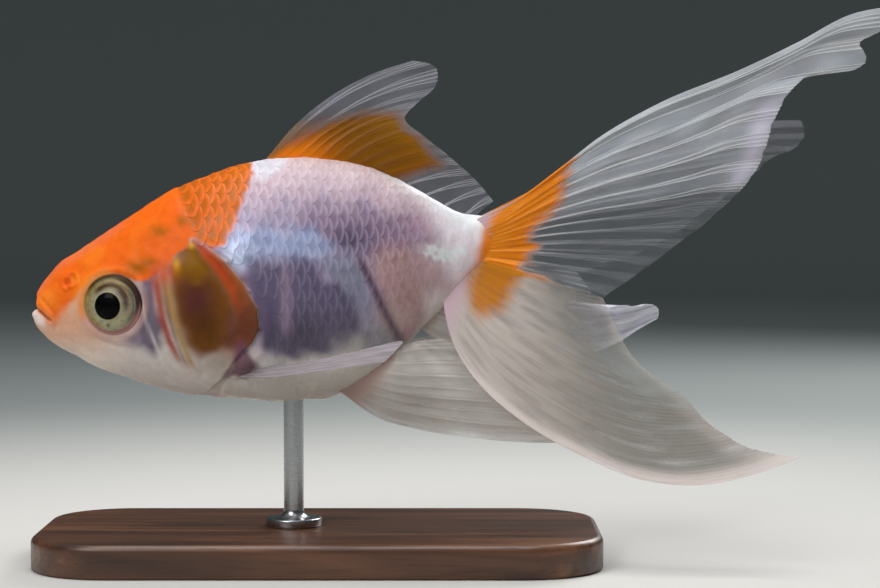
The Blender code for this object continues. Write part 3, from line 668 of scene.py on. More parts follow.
# Eye surface: silvery pigment under a clear cornea, so a dull metal shows under a glassy gloss.
cornea, tree = new_finish(
    "iris_under_clear_cornea",
    Roughness=0.5,
    IOR=1.34,
    Specular_IOR_Level=0.08,
    Coat_Weight=0.14,
    Coat_Roughness=0.02,
    Coat_IOR=1.34,
)
tint = add(tree, "Attribute", attribute_name="tint")
metal = add(tree, "Attribute", give="Fac", attribute_name="metal")
sheen = add(tree, "Math", {0: metal, 1: 0.2}, operation="MULTIPLY")
feed(tree, Base_Color=tint, Metallic=sheen)

face_rings = np.linspace(0.01, 1, EYE_ROWS - BACK_ROWS)  # shares of the eye's radius
back_rings = np.linspace(1, 0.01, BACK_ROWS + 2)[1:]
ring_share = np.concatenate([face_rings, back_rings])
on_map = FACE_ON_MAP * np.concatenate([face_rings, 1.04 + 0.2 * (1 - back_rings)])
spokes = np.arange(EYE_SPOKES) * 2 * math.pi / EYE_SPOKES
share, turn = (v.ravel() for v in np.meshgrid(ring_share, spokes, indexing="ij"))
x, z = EYE_RADIUS * share * np.cos(turn), EYE_RADIUS * share * np.sin(turn)
pupil = np.hypot(x - PUPIL[0], z - PUPIL[1]) / PUPIL_RADIUS
dome = DOME_RISE * (1 - 0.9 * share**2.5) + LENS_RISE * np.sqrt(np.clip(1 - pupil**2, 0, 1))
bowl = -BOWL_DEPTH * np.sqrt(np.clip(1 - share**2, 0, 1))
out = np.where(np.arange(len(x)) < len(face_rings) * EYE_SPOKES, dome, bowl)
iris, metal = iris_colours(x, z)
iris = np.vstack([iris, iris[0], iris[-1]])
metal = np.append(metal, [metal[0], metal[-1]])
for side_name, side in (("left", -1), ("right", 1)):
    eye_x = EYE[0] + x * math.cos(EYE_TILT) - out * math.sin(EYE_TILT)
    eye_y = side * (EYE_FACE + x * math.sin(EYE_TILT) + out * math.cos(EYE_TILT))
    circles = np.stack([eye_x, eye_y, EYE[2] + z], 1).reshape(len(ring_share), EYE_SPOKES, 3)
    points, faces, maps = closed_tube(circles, on_map, ends=(0.0, 1.26 * FACE_ON_MAP))
    way = 2 * math.pi * maps[..., 1]
    round_map = 0.5 + maps[..., :1] * np.stack([np.cos(way), np.sin(way)], -1)
    new_piece(
        f"eye_globe_{side_name}", points, faces, round_map, cornea, "eye", [f"eye_{side_name}"],
        tint=iris, metal=metal,
    )

# ------------------------------------------------------------------ scales
# Clear bony plates in slanting rows, each rooted in the skin and lying over the two behind it.
# Their edges, paler with a painted sheen, and the gaps between them draw a net; silver pigment backs only
# a few of them.

# The middle row of scales as x, z, and the distance between rows as x, distance.
SIDE_LINE = [(-26, 43.4), (-12, 42.5), (0, 41.2), (8, 42.2), (15, 44.2), (24, 47.6), (28, 49)]
ROW_GAP = [(-26, 2.3), (-12, 2.2), (0, 2.12), (12, 2), (20, 1.7), (28, 1.35)]
PITCH_SHARE = 0.74  # distance between scales in a row, as a share of the row gap
REACH, TALL = 1.95, 0.97  # a scale's length in pitches, and half its height in row gaps
SCALE_LIFT = (-0.06, 0.1)  # how high its root and its free edge lie over the skin
SCALE_THICK = 0.04
# Where a scale has points: from its root at 0 to its free edge at 1, and across it.
SCALE_ROWS = np.array([0, 0.25, 0.46, 0.62, 0.75, 0.85, 0.9, 0.95, 1.0])
SCALE_COLUMNS = np.linspace(-1, 1, 13)
PATCH = 0.003  # width of each scale's patch on the map

table_x = np.linspace(-28, 30, 400)
table_turn = np.linspace(0, math.pi, 361)
grid_x, grid_turn = np.meshgrid(table_x, table_turn, indexing="ij")
section = body_at(grid_x.ravel(), grid_turn.ravel()).reshape(len(table_x), len(table_turn), 3)
spans = np.cumsum(np.linalg.norm(np.diff(section, axis=1), axis=2), 1)
arc = np.concatenate([np.zeros((len(table_x), 1)), spans], 1)
girth_half = arc[:, -1]
side_line, gap_at = np.array(SIDE_LINE), np.array(ROW_GAP)
line_z = through(side_line[:, 0], side_line[:, 1:], table_x)[:, 0]
levels = zip(line_z, section[..., 2], arc)
arc_to_line = np.array([np.interp(-level, -row_z, row_arc) for level, row_z, row_arc in levels])
shares = np.linspace(0, 1, 241)
turn_table = np.array([np.interp(shares, row / row[-1], table_turn) for row in arc])


def turn_at(x, down):
    """The turn round the body at a distance down its side from the middle of the back."""
    share = np.clip(down / np.interp(x, table_x, girth_half), 0, 1) * (len(shares) - 1)
    row = np.clip((x - table_x[0]) / (table_x[1] - table_x[0]), 0, len(table_x) - 1.001)
    i, j = row.astype(int), np.minimum(share.astype(int), len(shares) - 2)
    u, v = row - i, share - j
    low = turn_table[i, j] * (1 - v) + turn_table[i, j + 1] * v
    high = turn_table[i + 1, j] * (1 - v) + turn_table[i + 1, j + 1] * v
    return low * (1 - u) + high * u


steps_x = np.interp(table_x, gap_at[:, 0], gap_at[:, 1]) * PITCH_SHARE
count_at = np.concatenate([[0], np.cumsum(np.diff(table_x) / steps_x[:-1])])  # pitches from the front
draw = np.random.default_rng(7)
roots = []
for row in range(-14, 15):
    for place in np.arange(0, count_at[-1] - 0.8, 1.0) + 0.5 * (row % 2):
        x = float(np.interp(place, count_at, table_x))
        gap = float(np.interp(x, *gap_at.T))
        down = float(np.interp(x, table_x, arc_to_line)) - row * gap
        room = float(np.interp(x, table_x, girth_half))
        if not -0.1 * gap < down < room + 0.1 * gap:
            continue
        z = float(body_at(np.array([x]), turn_at(np.array([x]), np.array([down])))[0, 2])
        if float(scaled_part(np.array([x + 0.9]), np.array([z]))[0]) > 0.25:
            roots.append((place, row, x, down))
roots = np.array(roots)

# Scales are thin clear bone, wet and smooth: sharper gloss than the skin, with growth rings so fine
# that they are drawn a little coarser, and mother-of-pearl where silver pigment backs them.
scale_bone, tree = new_finish(
    "wet_scale_bone",
    IOR=1.5,
    Specular_IOR_Level=0.18,
    Subsurface_Weight=0.2,
    Subsurface_Radius=(1.0, 0.5, 0.4),
    Subsurface_Scale=0.8 * MM,
    Coat_Weight=0.14,
    Coat_Roughness=0.12,
    Coat_IOR=1.34,
)
place = add(tree, "TexCoord", give="Object")
tint = add(tree, "Attribute", attribute_name="tint")
silver = add(tree, "Attribute", give="Fac", attribute_name="silver")
growth = add(tree, "Attribute", give="Fac", attribute_name="growth")
cloud = add(tree, "TexNoise", {"Vector": place, "Scale": 1 / (0.7 * MM), "Detail": 4.0})
shade = add(tree, "MapRange", {"Value": cloud, "To Min": 0.88, "To Max": 1.12})
clouded = add(tree, "Mix", {0: 1.0, 6: tint, 7: shade}, 2, data_type="RGBA", blend_type="MULTIPLY")
gloss = add(tree, "MapRange", {"Value": silver, "To Min": 0.36, "To Max": 0.2})
metal = add(tree, "Math", {0: silver, 1: 0.75}, operation="MULTIPLY")
ring_wave = add(tree, "Math", {0: growth, 1: 2 * math.pi * 9}, operation="MULTIPLY")
ring_wave = add(tree, "Math", {0: ring_wave}, operation="SINE")
height = add(tree, "Math", {0: ring_wave, 1: 0.12, 2: cloud}, operation="MULTIPLY_ADD")
bump = add(tree, "Bump", {"Height": height, "Strength": 0.3, "Distance": 0.05 * MM})
feed(tree, Base_Color=clouded, Roughness=gloss, Metallic=metal, Normal=bump)


def net_strength(x, z):
    """How clearly the scales' net shows: strong on the upper flank, faint on belly and stalk."""
    net = 0.2 + 0.3 * smooth(z, 33, 40) + 0.5 * smooth(z, 42, 47)
    net *= 1 - 0.85 * smooth(x, 10, 21)
    net *= 1 - 0.35 * smooth(z, 55, 60)
    return net


def thin_sheet(rows, columns):
    """Faces of a sheet of points, of the one under it, and of the wall that joins their rims."""
    size = rows * columns
    top, _ = grid_faces(rows, columns)
    rim = [*range(columns), *range(2 * columns - 1, size, columns)]
    rim += [*range(size - 2, size - columns - 1, -1), *range(size - 2 * columns, 0, -columns)]
    rim = np.array(rim)
    after = np.roll(rim, -1)
    wall = [(size + after, after, rim), (size + rim, size + after, rim)]
    return top, top[:, ::-1] + size, np.concatenate([np.stack(corners, 1) for corners in wall])


a, b = (v.ravel() for v in np.meshgrid(SCALE_ROWS, SCALE_COLUMNS, indexing="ij"))
edge_back = 0.55 * (1 - np.sqrt(1 - (0.97 * b) ** 2))  # the free edge is round, so it falls short
narrow = 1 - 0.2 * (1 - a) ** 2
size = len(a)
one_scale = np.concatenate(thin_sheet(len(SCALE_ROWS), len(SCALE_COLUMNS)))
u_in, v_in = (a - 0.5) * 0.94, b * 0.47
patch = np.stack([np.concatenate([u_in, u_in * 1.06]), np.concatenate([v_in, v_in * 1.06])], 1)

for side_name, side in (("left", -1), ("right", 1)):
    many = len(roots)
    place, row, root_x, root_down = (roots[:, i : i + 1] for i in range(4))
    jitter = draw.normal(0, 0.03, (many, 1))
    reach = REACH * (1 + draw.normal(0, 0.02, (many, 1)))
    along = place + jitter + (a - 0.15) * reach - edge_back * smooth(a, 0.2, 1.0)
    x = np.interp(along, count_at, table_x)
    gap = np.interp(x, *gap_at.T)
    line = np.interp(x, table_x, arc_to_line)
    room = np.interp(x, table_x, girth_half)
    down = line - (row - b * narrow * TALL) * gap
    over = 0.9 * gap  # past the ridges of back and belly, a scale is squeezed to stay on its side
    down = np.where(down < over, over * np.exp(np.minimum(down - over, 0) / over), down)
    past = room - down
    down = np.where(past < over, room - over * np.exp(np.minimum(past - over, 0) / over), down)
    turn = side * turn_at(x.ravel(), down.ravel())
    base = skin_places(x.ravel(), turn)
    normal = outward_at(x.ravel(), turn)
    rise = SCALE_LIFT[0] + (SCALE_LIFT[1] - SCALE_LIFT[0]) * a**1.1 - 0.04 * smooth(a, 0.92, 1.0)
    tilt = draw.normal(0, 0.012, (many, 1)) * b
    settled = gap / 2.12 * (1 - 0.75 * smooth(x, 15, 22))
    rise = ((rise + tilt * a) * settled).ravel()[:, None]
    top = base + normal * rise
    under = base + normal * (rise - SCALE_THICK)
    points = np.concatenate([top.reshape(many, size, 3), under.reshape(many, size, 3)], 1)

    colour, silvery = markings(base)
    net = net_strength(base[:, 0], base[:, 2]).reshape(many, size)
    # Each scale's free edge is paler, partly its own clear rim and partly a painted sheen; its middle is
    # darker with pigment.
    edge = smooth(a, 0.84, 0.91) * (1 - 0.5 * b**2)
    dark = hump((a - 0.64) / 0.2, 1.0) * smooth(np.abs(b), 0.85, 0.4)
    tone = 1 + net * (0.08 * edge - 0.2 * dark) + draw.normal(0, 0.025, (many, 1))
    colour *= tone.reshape(-1, 1)
    orange = smooth(inside(CAP, base[:, 0], base[:, 2]), -0.2, 0.6)
    lay(colour, "#AA6604", 0.55 * orange * np.tile(dark, many))
    # Painted sheen along the scales' free edges, except where they are orange.
    lay(colour, "#DDD3E4", 0.24 * (1 - orange) * (net * edge).ravel())
    np.clip(colour, 0, 0.95, out=colour)
    silvery = silvery.reshape(many, size)
    colour = np.concatenate([colour.reshape(many, size, 3)] * 2, 1).reshape(-1, 3)
    silvery = np.concatenate([silvery] * 2, 1).ravel()
    rings_in = np.tile(a, 2 * many)

    faces = (one_scale[None] + (np.arange(many) * 2 * size)[:, None, None]).reshape(-1, 3)
    middle_u = MARGIN + ON_MAP * (root_x - table_x[0]) / (table_x[-1] - table_x[0])
    middle_v = 0.5 + 0.93 * (root_down - np.interp(root_x, table_x, arc_to_line)) / 60
    middle = np.concatenate([middle_u, middle_v], 1)
    at_points = (middle[:, None] + patch[None] * PATCH).reshape(-1, 2)
    new_piece(
        f"scales_{side_name}", points.reshape(-1, 3), faces, at_points[faces], scale_bone,
        "pale_skin", (), tint=colour, silver=silvery, growth=rings_in,
    )

# ------------------------------------------------------------------ fins
# Clear skin stretched over fine bony rays, which fork twice on their way to the edge, so each fin
# folds like a fan between them. Pigment reaches out from the body along the rays.


def along(points, at):
    """A smooth curve through points, read at shares of its length."""
    points = np.asarray(points, float)
    lengths = np.linalg.norm(np.diff(points, axis=0), axis=1)
    return through(np.concatenate([[0], np.cumsum(lengths)]) / lengths.sum(), points, at)


# root and edge rows are t, x, y, z, with t 0 on the leading ray and 1 on the last one. lead and
# trail are points that those two rays pass on their way. sway bends the fin out and in: size, turns.
DORSAL = {
    "root": (
        (0, -8.8, 0, 59.2), (0.35, 0, 0, 59.2), (0.68, 9, 0, 57.2), (0.86, 16.2, 0, 53.6),
        (1, 22.4, 0, 50.6),
    ),
    "lead": ((-2.9, 0, 65.9), (3.1, 0.3, 70.4), (9, 0.8, 73.3)),
    "edge": (
        (0, 14, 1.4, 74.9), (0.07, 17.3, 1.5, 74), (0.13, 17.6, 1.4, 71.6), (0.24, 14.6, 0.9, 68.5),
        (0.36, 12.8, 0.4, 66.2), (0.5, 15.8, 0, 63.4), (0.66, 19.8, -0.4, 60.2),
        (0.82, 23.4, -0.6, 56.9), (1, 26, -0.8, 53.8),
    ),
    "trail": ((24.4, -0.5, 52.6),),
    "sway": (0.5, 1.5),
}
TAIL_UPPER_LEFT = {
    "root": ((0, 23.6, -0.9, 51.2), (0.5, 22.8, -1.1, 48.2), (1, 21.6, -1.3, 45.6)),
    "lead": (
        (29.9, -1.5, 54.4), (35.9, -2, 58.8), (41.8, -2.5, 63.4), (50.6, -3, 68.4), (62.5, -3, 73.3),
        (71.3, -3, 77.5), (78.7, -3, 81.4),
    ),
    "edge": (
        (0, 87, -3, 83), (0.06, 83.4, -3, 78.9), (0.1, 80.4, -3, 77.2), (0.13, 81.7, -3.4, 75.2),
        (0.17, 79.6, -3.6, 73.3), (0.23, 74.4, -3.8, 73.2), (0.3, 70.4, -4, 70.6),
        (0.38, 67.6, -4, 66.2), (0.5, 65.3, -3.2, 59.2), (0.68, 58.4, -3, 51.4),
        (0.84, 49.8, -3.8, 44.7), (1, 42.1, -5.5, 39.5),
    ),
    "trail": ((31.5, -3.2, 42.9),),
    "sway": (1.2, 1.5),
}
TAIL_LOWER_LEFT = {
    "root": ((0, 18.3, -1.7, 40.2), (0.5, 19.8, -1.5, 42.8), (1, 21.6, -1.3, 45.6)),
    "lead": (
        (19.8, -4.6, 33.2), (23.9, -8.4, 26.9), (29.7, -11.2, 22), (38.3, -14, 17.2), (46.8, -16, 13.9),
        (55.3, -17, 13.2), (63.9, -17, 15),
    ),
    "edge": (
        (0, 69.8, -16, 17.1), (0.14, 64.2, -15, 17.9), (0.36, 57.4, -13.5, 21.4),
        (0.56, 53.6, -12, 25.4), (0.78, 46.4, -8.8, 31), (1, 42.1, -5.5, 39.5),
    ),
    "trail": ((31.5, -3.2, 42.9),),
    "sway": (0.8, 1.0),
}
TAIL_UPPER_RIGHT = {
    "root": ((0, 23.6, 0.9, 51.2), (0.5, 22.8, 1.1, 48.2), (1, 21.6, 1.3, 45.6)),
    "lead": ((34, 5, 56.4), (46, 11, 61), (60, 18, 64.6), (70, 22.6, 66.4)),
    "edge": (
        (0, 75.4, 24, 66.6), (0.12, 76.2, 25, 63.8), (0.3, 70.1, 26, 59.6), (0.5, 63, 24, 54),
        (0.75, 52, 20.5, 46.8), (1, 39.5, 16.5, 42.5),
    ),
    "trail": ((29.6, 7.6, 44.4),),
    "sway": (1.0, -1.5),
}
TAIL_LOWER_RIGHT = {
    "root": ((0, 18.3, 1.7, 40.2), (0.5, 19.8, 1.5, 42.8), (1, 21.6, 1.3, 45.6)),
    "lead": ((21, 6, 35.6), (28, 14, 31.4), (37, 24, 29.2), (46, 33, 29.9)),
    "edge": (
        (0, 52.4, 38.4, 33.4), (0.2, 54.3, 38, 34.6), (0.36, 53.8, 36.4, 36.2), (0.7, 46.6, 27, 36.8),
        (0.86, 43.4, 22, 37.4), (1, 39.5, 16.5, 42.5),
    ),
    "trail": ((29.6, 7.6, 44.4),),
    "sway": (0.7, 1.0),
}
PECTORAL = {
    "root": ((0, -12.8, -5.4, 27.9), (1, -11, -5.9, 29.6)),
    "lead": ((-6.6, -12, 28.3), (0.8, -16.6, 29.5), (6.6, -18.6, 30.5)),
    "edge": ((0, 10.2, -19, 31.1), (0.35, 12.2, -17, 33), (0.65, 12.6, -14, 33.7), (1, 9.6, -10.6, 32.9)),
    "trail": ((-2.5, -9.3, 30),),
    "sway": (0.15, 1.0),
}
PELVIC = {
    "root": ((0, 2.8, -3, 25.7), (0.7, 7.8, -3.2, 28.8), (1, 11.2, -2.2, 31.6)),
    "lead": ((9.1, -3.9, 21.5), (15, -4.4, 19.9), (23.9, -5, 18.6), (35.8, -5.6, 18.1)),
    "edge": (
        (0, 43.4, -6, 18.8), (0.25, 42.8, -6.2, 22.3), (0.6, 36, -5.8, 26.6), (0.85, 27, -5, 30.6),
        (1, 18.4, -4.2, 33.4),
    ),
    "trail": ((14.4, -3.4, 33),),
    "sway": (0.5, 1.5),
}
ANAL = {
    "root": ((0, 14.2, -0.7, 35.3), (1, 17.6, -0.7, 39.2)),
    "lead": ((19.9, -1.1, 31.6), (26.9, -1.7, 28.2)),
    "edge": ((0, 36.1, -2.4, 24.4), (0.3, 38.5, -2.6, 27.6), (0.7, 33.6, -2.2, 33.2), (1, 26, -1.4, 37)),
    "trail": ((21.6, -1, 38.6),),
    "sway": (0.25, 1.0),
}
DORSAL_ORANGE = [
    (-9.6, 60), (-6.5, 62.2), (-4.3, 63.4), (-2.3, 65), (1.2, 66.8), (6.9, 67.8), (11.1, 67.3),
    (13.1, 66), (15.5, 63.6), (17.6, 61), (18.2, 59.2), (15.4, 58.2), (12, 56), (5, 57.5), (-4, 58.5),
]


def fin_places(shape, s, t):
    """Places on the fin's middle surface: s runs out along the rays, and t across them."""
    root, edge = (np.array(shape[key], float) for key in ("root", "edge"))
    starts, ends = (through(rows[:, 0], rows[:, 1:], t) for rows in (root, edge))
    places = starts + (ends - starts) * s[:, None]
    for way, near, row in (("lead", 1 - t, 0), ("trail", t, -1)):
        first, last = root[row, 1:], edge[row, 1:]
        bend = along([first, *shape[way], last], s) - first - (last - first) * s[:, None]
        places += (np.clip(near, 0, 1) ** 1.5)[:, None] * bend
    size, turns_across = shape["sway"]
    places[:, 1] += size * s**2 * np.sin(2 * math.pi * turns_across * t)
    return places


# Fin: clear, wet and thin enough for light to shine through it, with whiter bone in its rays. The
# rays are jointed every half millimetre or so, drawn here at 0.8 mm so that it can be seen.
fin_skin, tree = new_finish(
    "clear_fin_skin_on_bony_rays",
    IOR=1.38,
    Specular_IOR_Level=0.2,
    Subsurface_Weight=0.25,
    Subsurface_Radius=(1.0, 0.8, 0.7),
    Subsurface_Scale=0.7 * MM,
    Coat_Weight=0.08,
    Coat_Roughness=0.2,
    Coat_IOR=1.34,
)
tint = add(tree, "Attribute", attribute_name="tint")
cover = add(tree, "Attribute", give="Fac", attribute_name="cover")
bone = add(tree, "Attribute", give="Fac", attribute_name="bone")
out = add(tree, "Attribute", give="Fac", attribute_name="out")
beat = add(tree, "Math", {0: out, 1: 2 * math.pi / 0.8}, operation="MULTIPLY")
beat = add(tree, "Math", {0: beat}, operation="SINE")
joint = add(tree, "MapRange", {"Value": beat, "From Min": 0.5, "From Max": 1.0})
joint = add(tree, "Math", {0: joint, 1: bone}, operation="MULTIPLY")
shade = add(tree, "MapRange", {"Value": joint, "To Min": 1.0, "To Max": 0.93})
jointed = add(tree, "Mix", {0: 1.0, 6: tint, 7: shade}, 2, data_type="RGBA", blend_type="MULTIPLY")
place = add(tree, "TexCoord", give="Object")
cloud = add(tree, "TexNoise", {"Vector": place, "Scale": 1 / (1.6 * MM), "Detail": 4.0})
gloss = add(tree, "MapRange", {"Value": cloud, "To Min": 0.32, "To Max": 0.5})
bump = add(tree, "Bump", {"Height": joint, "Strength": 0.3, "Distance": 0.03 * MM})
feed(tree, Base_Color=jointed, Alpha=cover, Roughness=gloss, Normal=bump)

FINE_RAYS = 4  # that each ray forks into
RAY_HALF, RAY_RISE = 0.054, 0.1  # half width of a fine ray, and how far it stands out of the web
WEB_HALF = 0.05  # half the web's thickness
NEARBY = 0.004  # how far apart places are read to find which way the fin faces
SOLID = 0.97  # how much of the light the thickest pigment and flesh stop


def fin_piece(
    name, shape, rays, spans, web, nodes, seed, fork=0.15, forks=(0.42, 0.7), fold=0.2, bright=1.0,
    ribs=1.0, fade=None, web_tint="#9A9CAA", ray_tint="#F6F6FC", root_tint="#D8B8C4", orange=None,
):
    """A fin with its rays, which split as wide as fork and from the two places in forks, with pleats
    as deep as fold. bright and ribs are how white and how high the rays are. web gives how dense the
    clear skin is at places s, t from 0 to 1, fade how much the rays' bone fades into it, and orange
    paints pigment and gives how thick it is."""
    draw = np.random.default_rng(seed)
    middles = (np.arange(rays) + 0.4) / (rays - 0.2)
    bounds = np.concatenate([[0], (middles[1:] + middles[:-1]) / 2, [1]])
    s_rows = np.linspace(0, 1, spans + 1) ** 0.97
    first_fork = forks[0] + draw.normal(0, 0.03, rays)
    second_fork = forks[1] + draw.normal(0, 0.04, rays)
    first_ray, last_ray = (fin_places(shape, s_rows, np.full(spans + 1, t)) for t in (0.0, 1.0))
    fan = np.linalg.norm(last_ray - first_ray, axis=1)
    half = np.minimum(RAY_HALF * (1 - 0.35 * s_rows) / np.maximum(fan, 0.5), 0.045 / rays)

    # Columns of points run out along the fin, each with its bone, its height and how short it ends.
    columns, bone, height, tip, flip = [], [], [], [], []

    def column(at, is_bone, rise, short, way):
        columns.append(at)
        bone.append(is_bone + 0 * s_rows)
        height.append(rise + 0 * s_rows)
        tip.append(short)
        flip.append(way)

    column(bounds[0] + 0 * s_rows, 0.3, 0.1, 0.002, 0)
    for i in range(rays):
        way = -1 if i % 2 else 1
        short = abs(draw.normal(0, 0.002))
        one = 2.15 * half + fork / rays * smooth(s_rows, first_fork[i], 1.0) ** 0.8
        two = 1.075 * half + 0.5 * fork / rays * smooth(s_rows, second_fork[i], 1.0) ** 0.8
        offsets = [-one - two, -one + two, one - two, one + two]
        for k, offset in enumerate(offsets):
            for foot, outer in ((-1, k == 0), (0, False), (1, k == FINE_RAYS - 1)):
                is_bone, rise = (1.0, 1.0) if foot == 0 else (0.1, 0.1) if outer else (0.45, 0.25)
                column(middles[i] + offset + foot * half, is_bone, rise, short, way)
            if k < FINE_RAYS - 1:
                joined = 1 - smooth((offsets[k + 1] - offset) / half, 2.2, 4.5)
                between = middles[i] + (offset + offsets[k + 1]) / 2
                column(between, 0.12 + 0.6 * joined, 0.55 * joined, short + 0.002, way)
        column(bounds[i + 1] + 0 * s_rows, 0.0, 0.0, 0.006 if i < rays - 1 else 0.0, 0)
    t = np.stack(columns, 1)
    bone, height = np.stack(bone, 1), np.stack(height, 1)
    s = s_rows[:, None] * (1 - np.array(tip)[None] * smooth(s_rows, 0.86, 1.0)[:, None])
    flat_s, flat_t = s.ravel(), t.ravel()

    # The fin's middle surface is folded between the rays, then given thickness on both sides.
    middle = fin_places(shape, flat_s, flat_t)
    s_out, s_in = flat_s + NEARBY, np.maximum(flat_s - NEARBY, 0)
    t_on, t_back = np.minimum(flat_t + NEARBY, 1), np.maximum(flat_t - NEARBY, 0)
    outward = fin_places(shape, s_out, flat_t) - fin_places(shape, s_in, flat_t)
    across = fin_places(shape, flat_s, t_on) - fin_places(shape, flat_s, t_back)
    normal = np.cross(across, outward)
    normal /= np.maximum(np.linalg.norm(normal, axis=1, keepdims=True), 1e-9)
    gap = (fan / rays)[:, None]
    pleat = fold * np.array(flip)[None] * smooth(s_rows, 0.02, 0.35)[:, None] * np.minimum(gap / 2.0, 1)
    waves = mottle(np.stack([flat_s * 10, flat_t * 14, flat_s * 0], 1), 7, seed + 50).reshape(s.shape)
    ripple = 0.35 * smooth(s_rows, 0.3, 1.0)[:, None] * waves
    middle = middle + normal * (pleat + 0.4 * fold * ripple).reshape(-1, 1)
    ray_rise = RAY_RISE * ribs * height * smooth(s, 0.04, 0.25) * (1 - 0.5 * s) * np.minimum(gap / 0.9, 1)
    flesh = 0.3 * smooth(s, 0.12, 0.0)
    thick = (WEB_HALF * (1 - 0.45 * smooth(s, 0.5, 1.0)) + ray_rise + flesh).reshape(-1, 1)
    points = np.concatenate([middle + normal * thick, middle - normal * thick])

    size = len(middle)
    u, v = np.repeat(s_rows, t.shape[1]), flat_t
    near_map = np.stack([MARGIN + 0.46 * v, MARGIN + ON_MAP * u], 1)
    far_map = near_map * [-1, 1] + [1, 0]
    wall_map = np.concatenate([near_map, np.stack([0.03 + 0.44 * v, 0.03 + 0.94 * u], 1)])
    top, under, wall = thin_sheet(spans + 1, t.shape[1])
    maps = np.concatenate([near_map[top], far_map[under - size], wall_map[wall]])

    flat_bone = bone.ravel()
    rough = mottle(middle, 5.0, seed + 70)
    fine = mottle(np.stack([flat_s * 25, flat_t * rays * 6, flat_s * 0], 1), 4.0, seed + 90)
    shine = bright * (1 - fade(flat_s, flat_t)) if fade else bright
    tint = np.tile(linear(web_tint), (size, 1))
    lay(tint, "#B4A4A8", 0.2 * smooth(rough, 0.1, 1.4))
    lay(tint, ray_tint, shine * smooth(flat_bone, 0.05, 0.75))
    lay(tint, root_tint, 0.9 * smooth(flat_s, 0.15, 0.03))
    density = web(flat_s, flat_t) * (1 + 0.13 * fine) + 0.6 * smooth(flat_s, 0.16, 0.02)
    ray_cover = 0.8 + 0.18 * smooth(density, 0.2, 0.9)
    opaque = density + (ray_cover - density) * shine * smooth(flat_bone, 0.1, 0.8)
    opaque = np.clip(opaque, 0.05, 0.98)
    if orange:
        opaque = np.maximum(opaque, SOLID * orange(tint, middle, flat_s, flat_t, flat_bone))
    opaque = np.maximum(opaque, SOLID * smooth(flat_s, 0.05, 0.0))
    cover = 1 - np.sqrt(1 - opaque)  # light crosses both of the sheet's sides
    ray_root, ray_tip = fin_places(shape, np.array([0.0, 1.0]), np.zeros(2))
    out = flat_s * np.linalg.norm(ray_tip - ray_root)
    new_piece(
        name, points, np.concatenate([top, under, wall]), maps, fin_skin, "fin_membrane", nodes,
        tint=np.tile(tint, (2, 1)), cover=np.tile(cover, 2), bone=np.tile(flat_bone, 2),
        out=np.tile(out, 2),
    )


def mirrored(shape):
    """The same fin for the fish's other side."""
    flip = np.array([1, -1, 1])
    other = dict(shape)
    for key in ("root", "edge"):
        other[key] = [(row[0], *(np.array(row[1:]) * flip)) for row in shape[key]]
    for key in ("lead", "trail"):
        other[key] = [np.array(row) * flip for row in shape[key]]
    return other


def tail_orange(near_shape, web_code, ray_code, soft, streaky):
    """Pigment on a tail lobe, which has its place from the lobe of the fish's left side."""

    def paint(tint, middle, s, t, bone):
        place = fin_places(near_shape, s, t)
        x, z = place[:, 0], place[:, 2]
        streaks = mottle(np.stack([s * 2, t * 60, s * 0], 1), 5, 33)
        painted = smooth(inside(TAIL_ORANGE, x, z) + streaky * streaks, -soft, 0.7 * soft)
        line, far = to_line(TAIL_STREAK, x, z)
        painted = np.clip(painted + 0.8 * hump(line, 0.45) * smooth(far, 1.0, 0.5), 0, 1)
        painted *= smooth(x - 0.28 * (50 - z), 17.6, 20.4)
        lay(tint, web_code, painted)
        lay(tint, ray_code, 0.5 * painted * bone)
        lay(tint, "#A85E00", 0.35 * painted * (1 - bone) * smooth(streaks, -0.4, 1.0))
        return painted

    return paint


def dorsal_orange(tint, middle, s, t, bone):
    """Pigment on the sail: brown where it is thin, and bright at its front foot."""
    x, z = middle[:, 0], middle[:, 2]
    streaks = mottle(np.stack([s * 3, t * 60, s * 0], 1), 5, 35)
    painted = smooth(inside(DORSAL_ORANGE, x, z) + 0.3 * streaks, -1.4, 1.8)
    lay(tint, "#7C4A00", painted)
    lay(tint, "#FF8600", 0.9 * painted * hump(np.hypot((x + 4.0) / 5.5, (z - 60.8) / 3.2), 1.0))
    lay(tint, "#F58A18", 0.8 * painted * smooth(s, 0.14, 0.03) * smooth(x, 9, 2))
    # A brighter orange blotch at the back of the sail, partly pigment and partly painted glints of light.
    blotch = hump(np.hypot((x - 13.2) / 3.0, (z - 61.2) / 2.2), 1.0) * smooth(streaks, -0.6, 0.8)
    lay(tint, "#C2600C", 0.5 * painted * blotch)
    lay(tint, "#8E5606", 0.3 * painted * bone)
    strip = 0.7 * hump(t, 0.05) * band(s, 0.02, 0.06, 0.25, 0.4)
    lay(tint, "#A8741C", strip)
    return np.maximum(painted, strip)


def rolled_edge(s, t):
    """Where the free edge of the near upper lobe rolls over and doubles its skin."""
    return hump(s - 0.96, 0.04) * band(t, 0.3, 0.36, 0.52, 0.62)


def upper_web(s, t):
    """The near upper lobe's skin, milky along its leading ray and clear behind."""
    clear = 0.66 - 0.3 * smooth(t, 0.28, 0.45) - 0.28 * smooth(t, 0.48, 0.62)
    return np.clip(clear + 0.4 * rolled_edge(s, t) + 0.15 * smooth(t, 0.05, 0.0), 0, 1)


def upper_paint(tint, middle, s, t, bone):
    """Orange at the root of the near upper lobe, and pale skin on its leading ray and rolled edge."""
    lay(tint, "#D8D2E4", 0.8 * rolled_edge(s, t))
    painted = tail_orange(TAIL_UPPER_LEFT, "#FF9418", "#FFB044", 1.3, 0.3)(tint, middle, s, t, bone)
    pale = smooth(t, 0.09, 0.0) * smooth(s, 0.12, 0.05)
    lay(tint, "#CFC8CC", 0.85 * pale)
    return painted


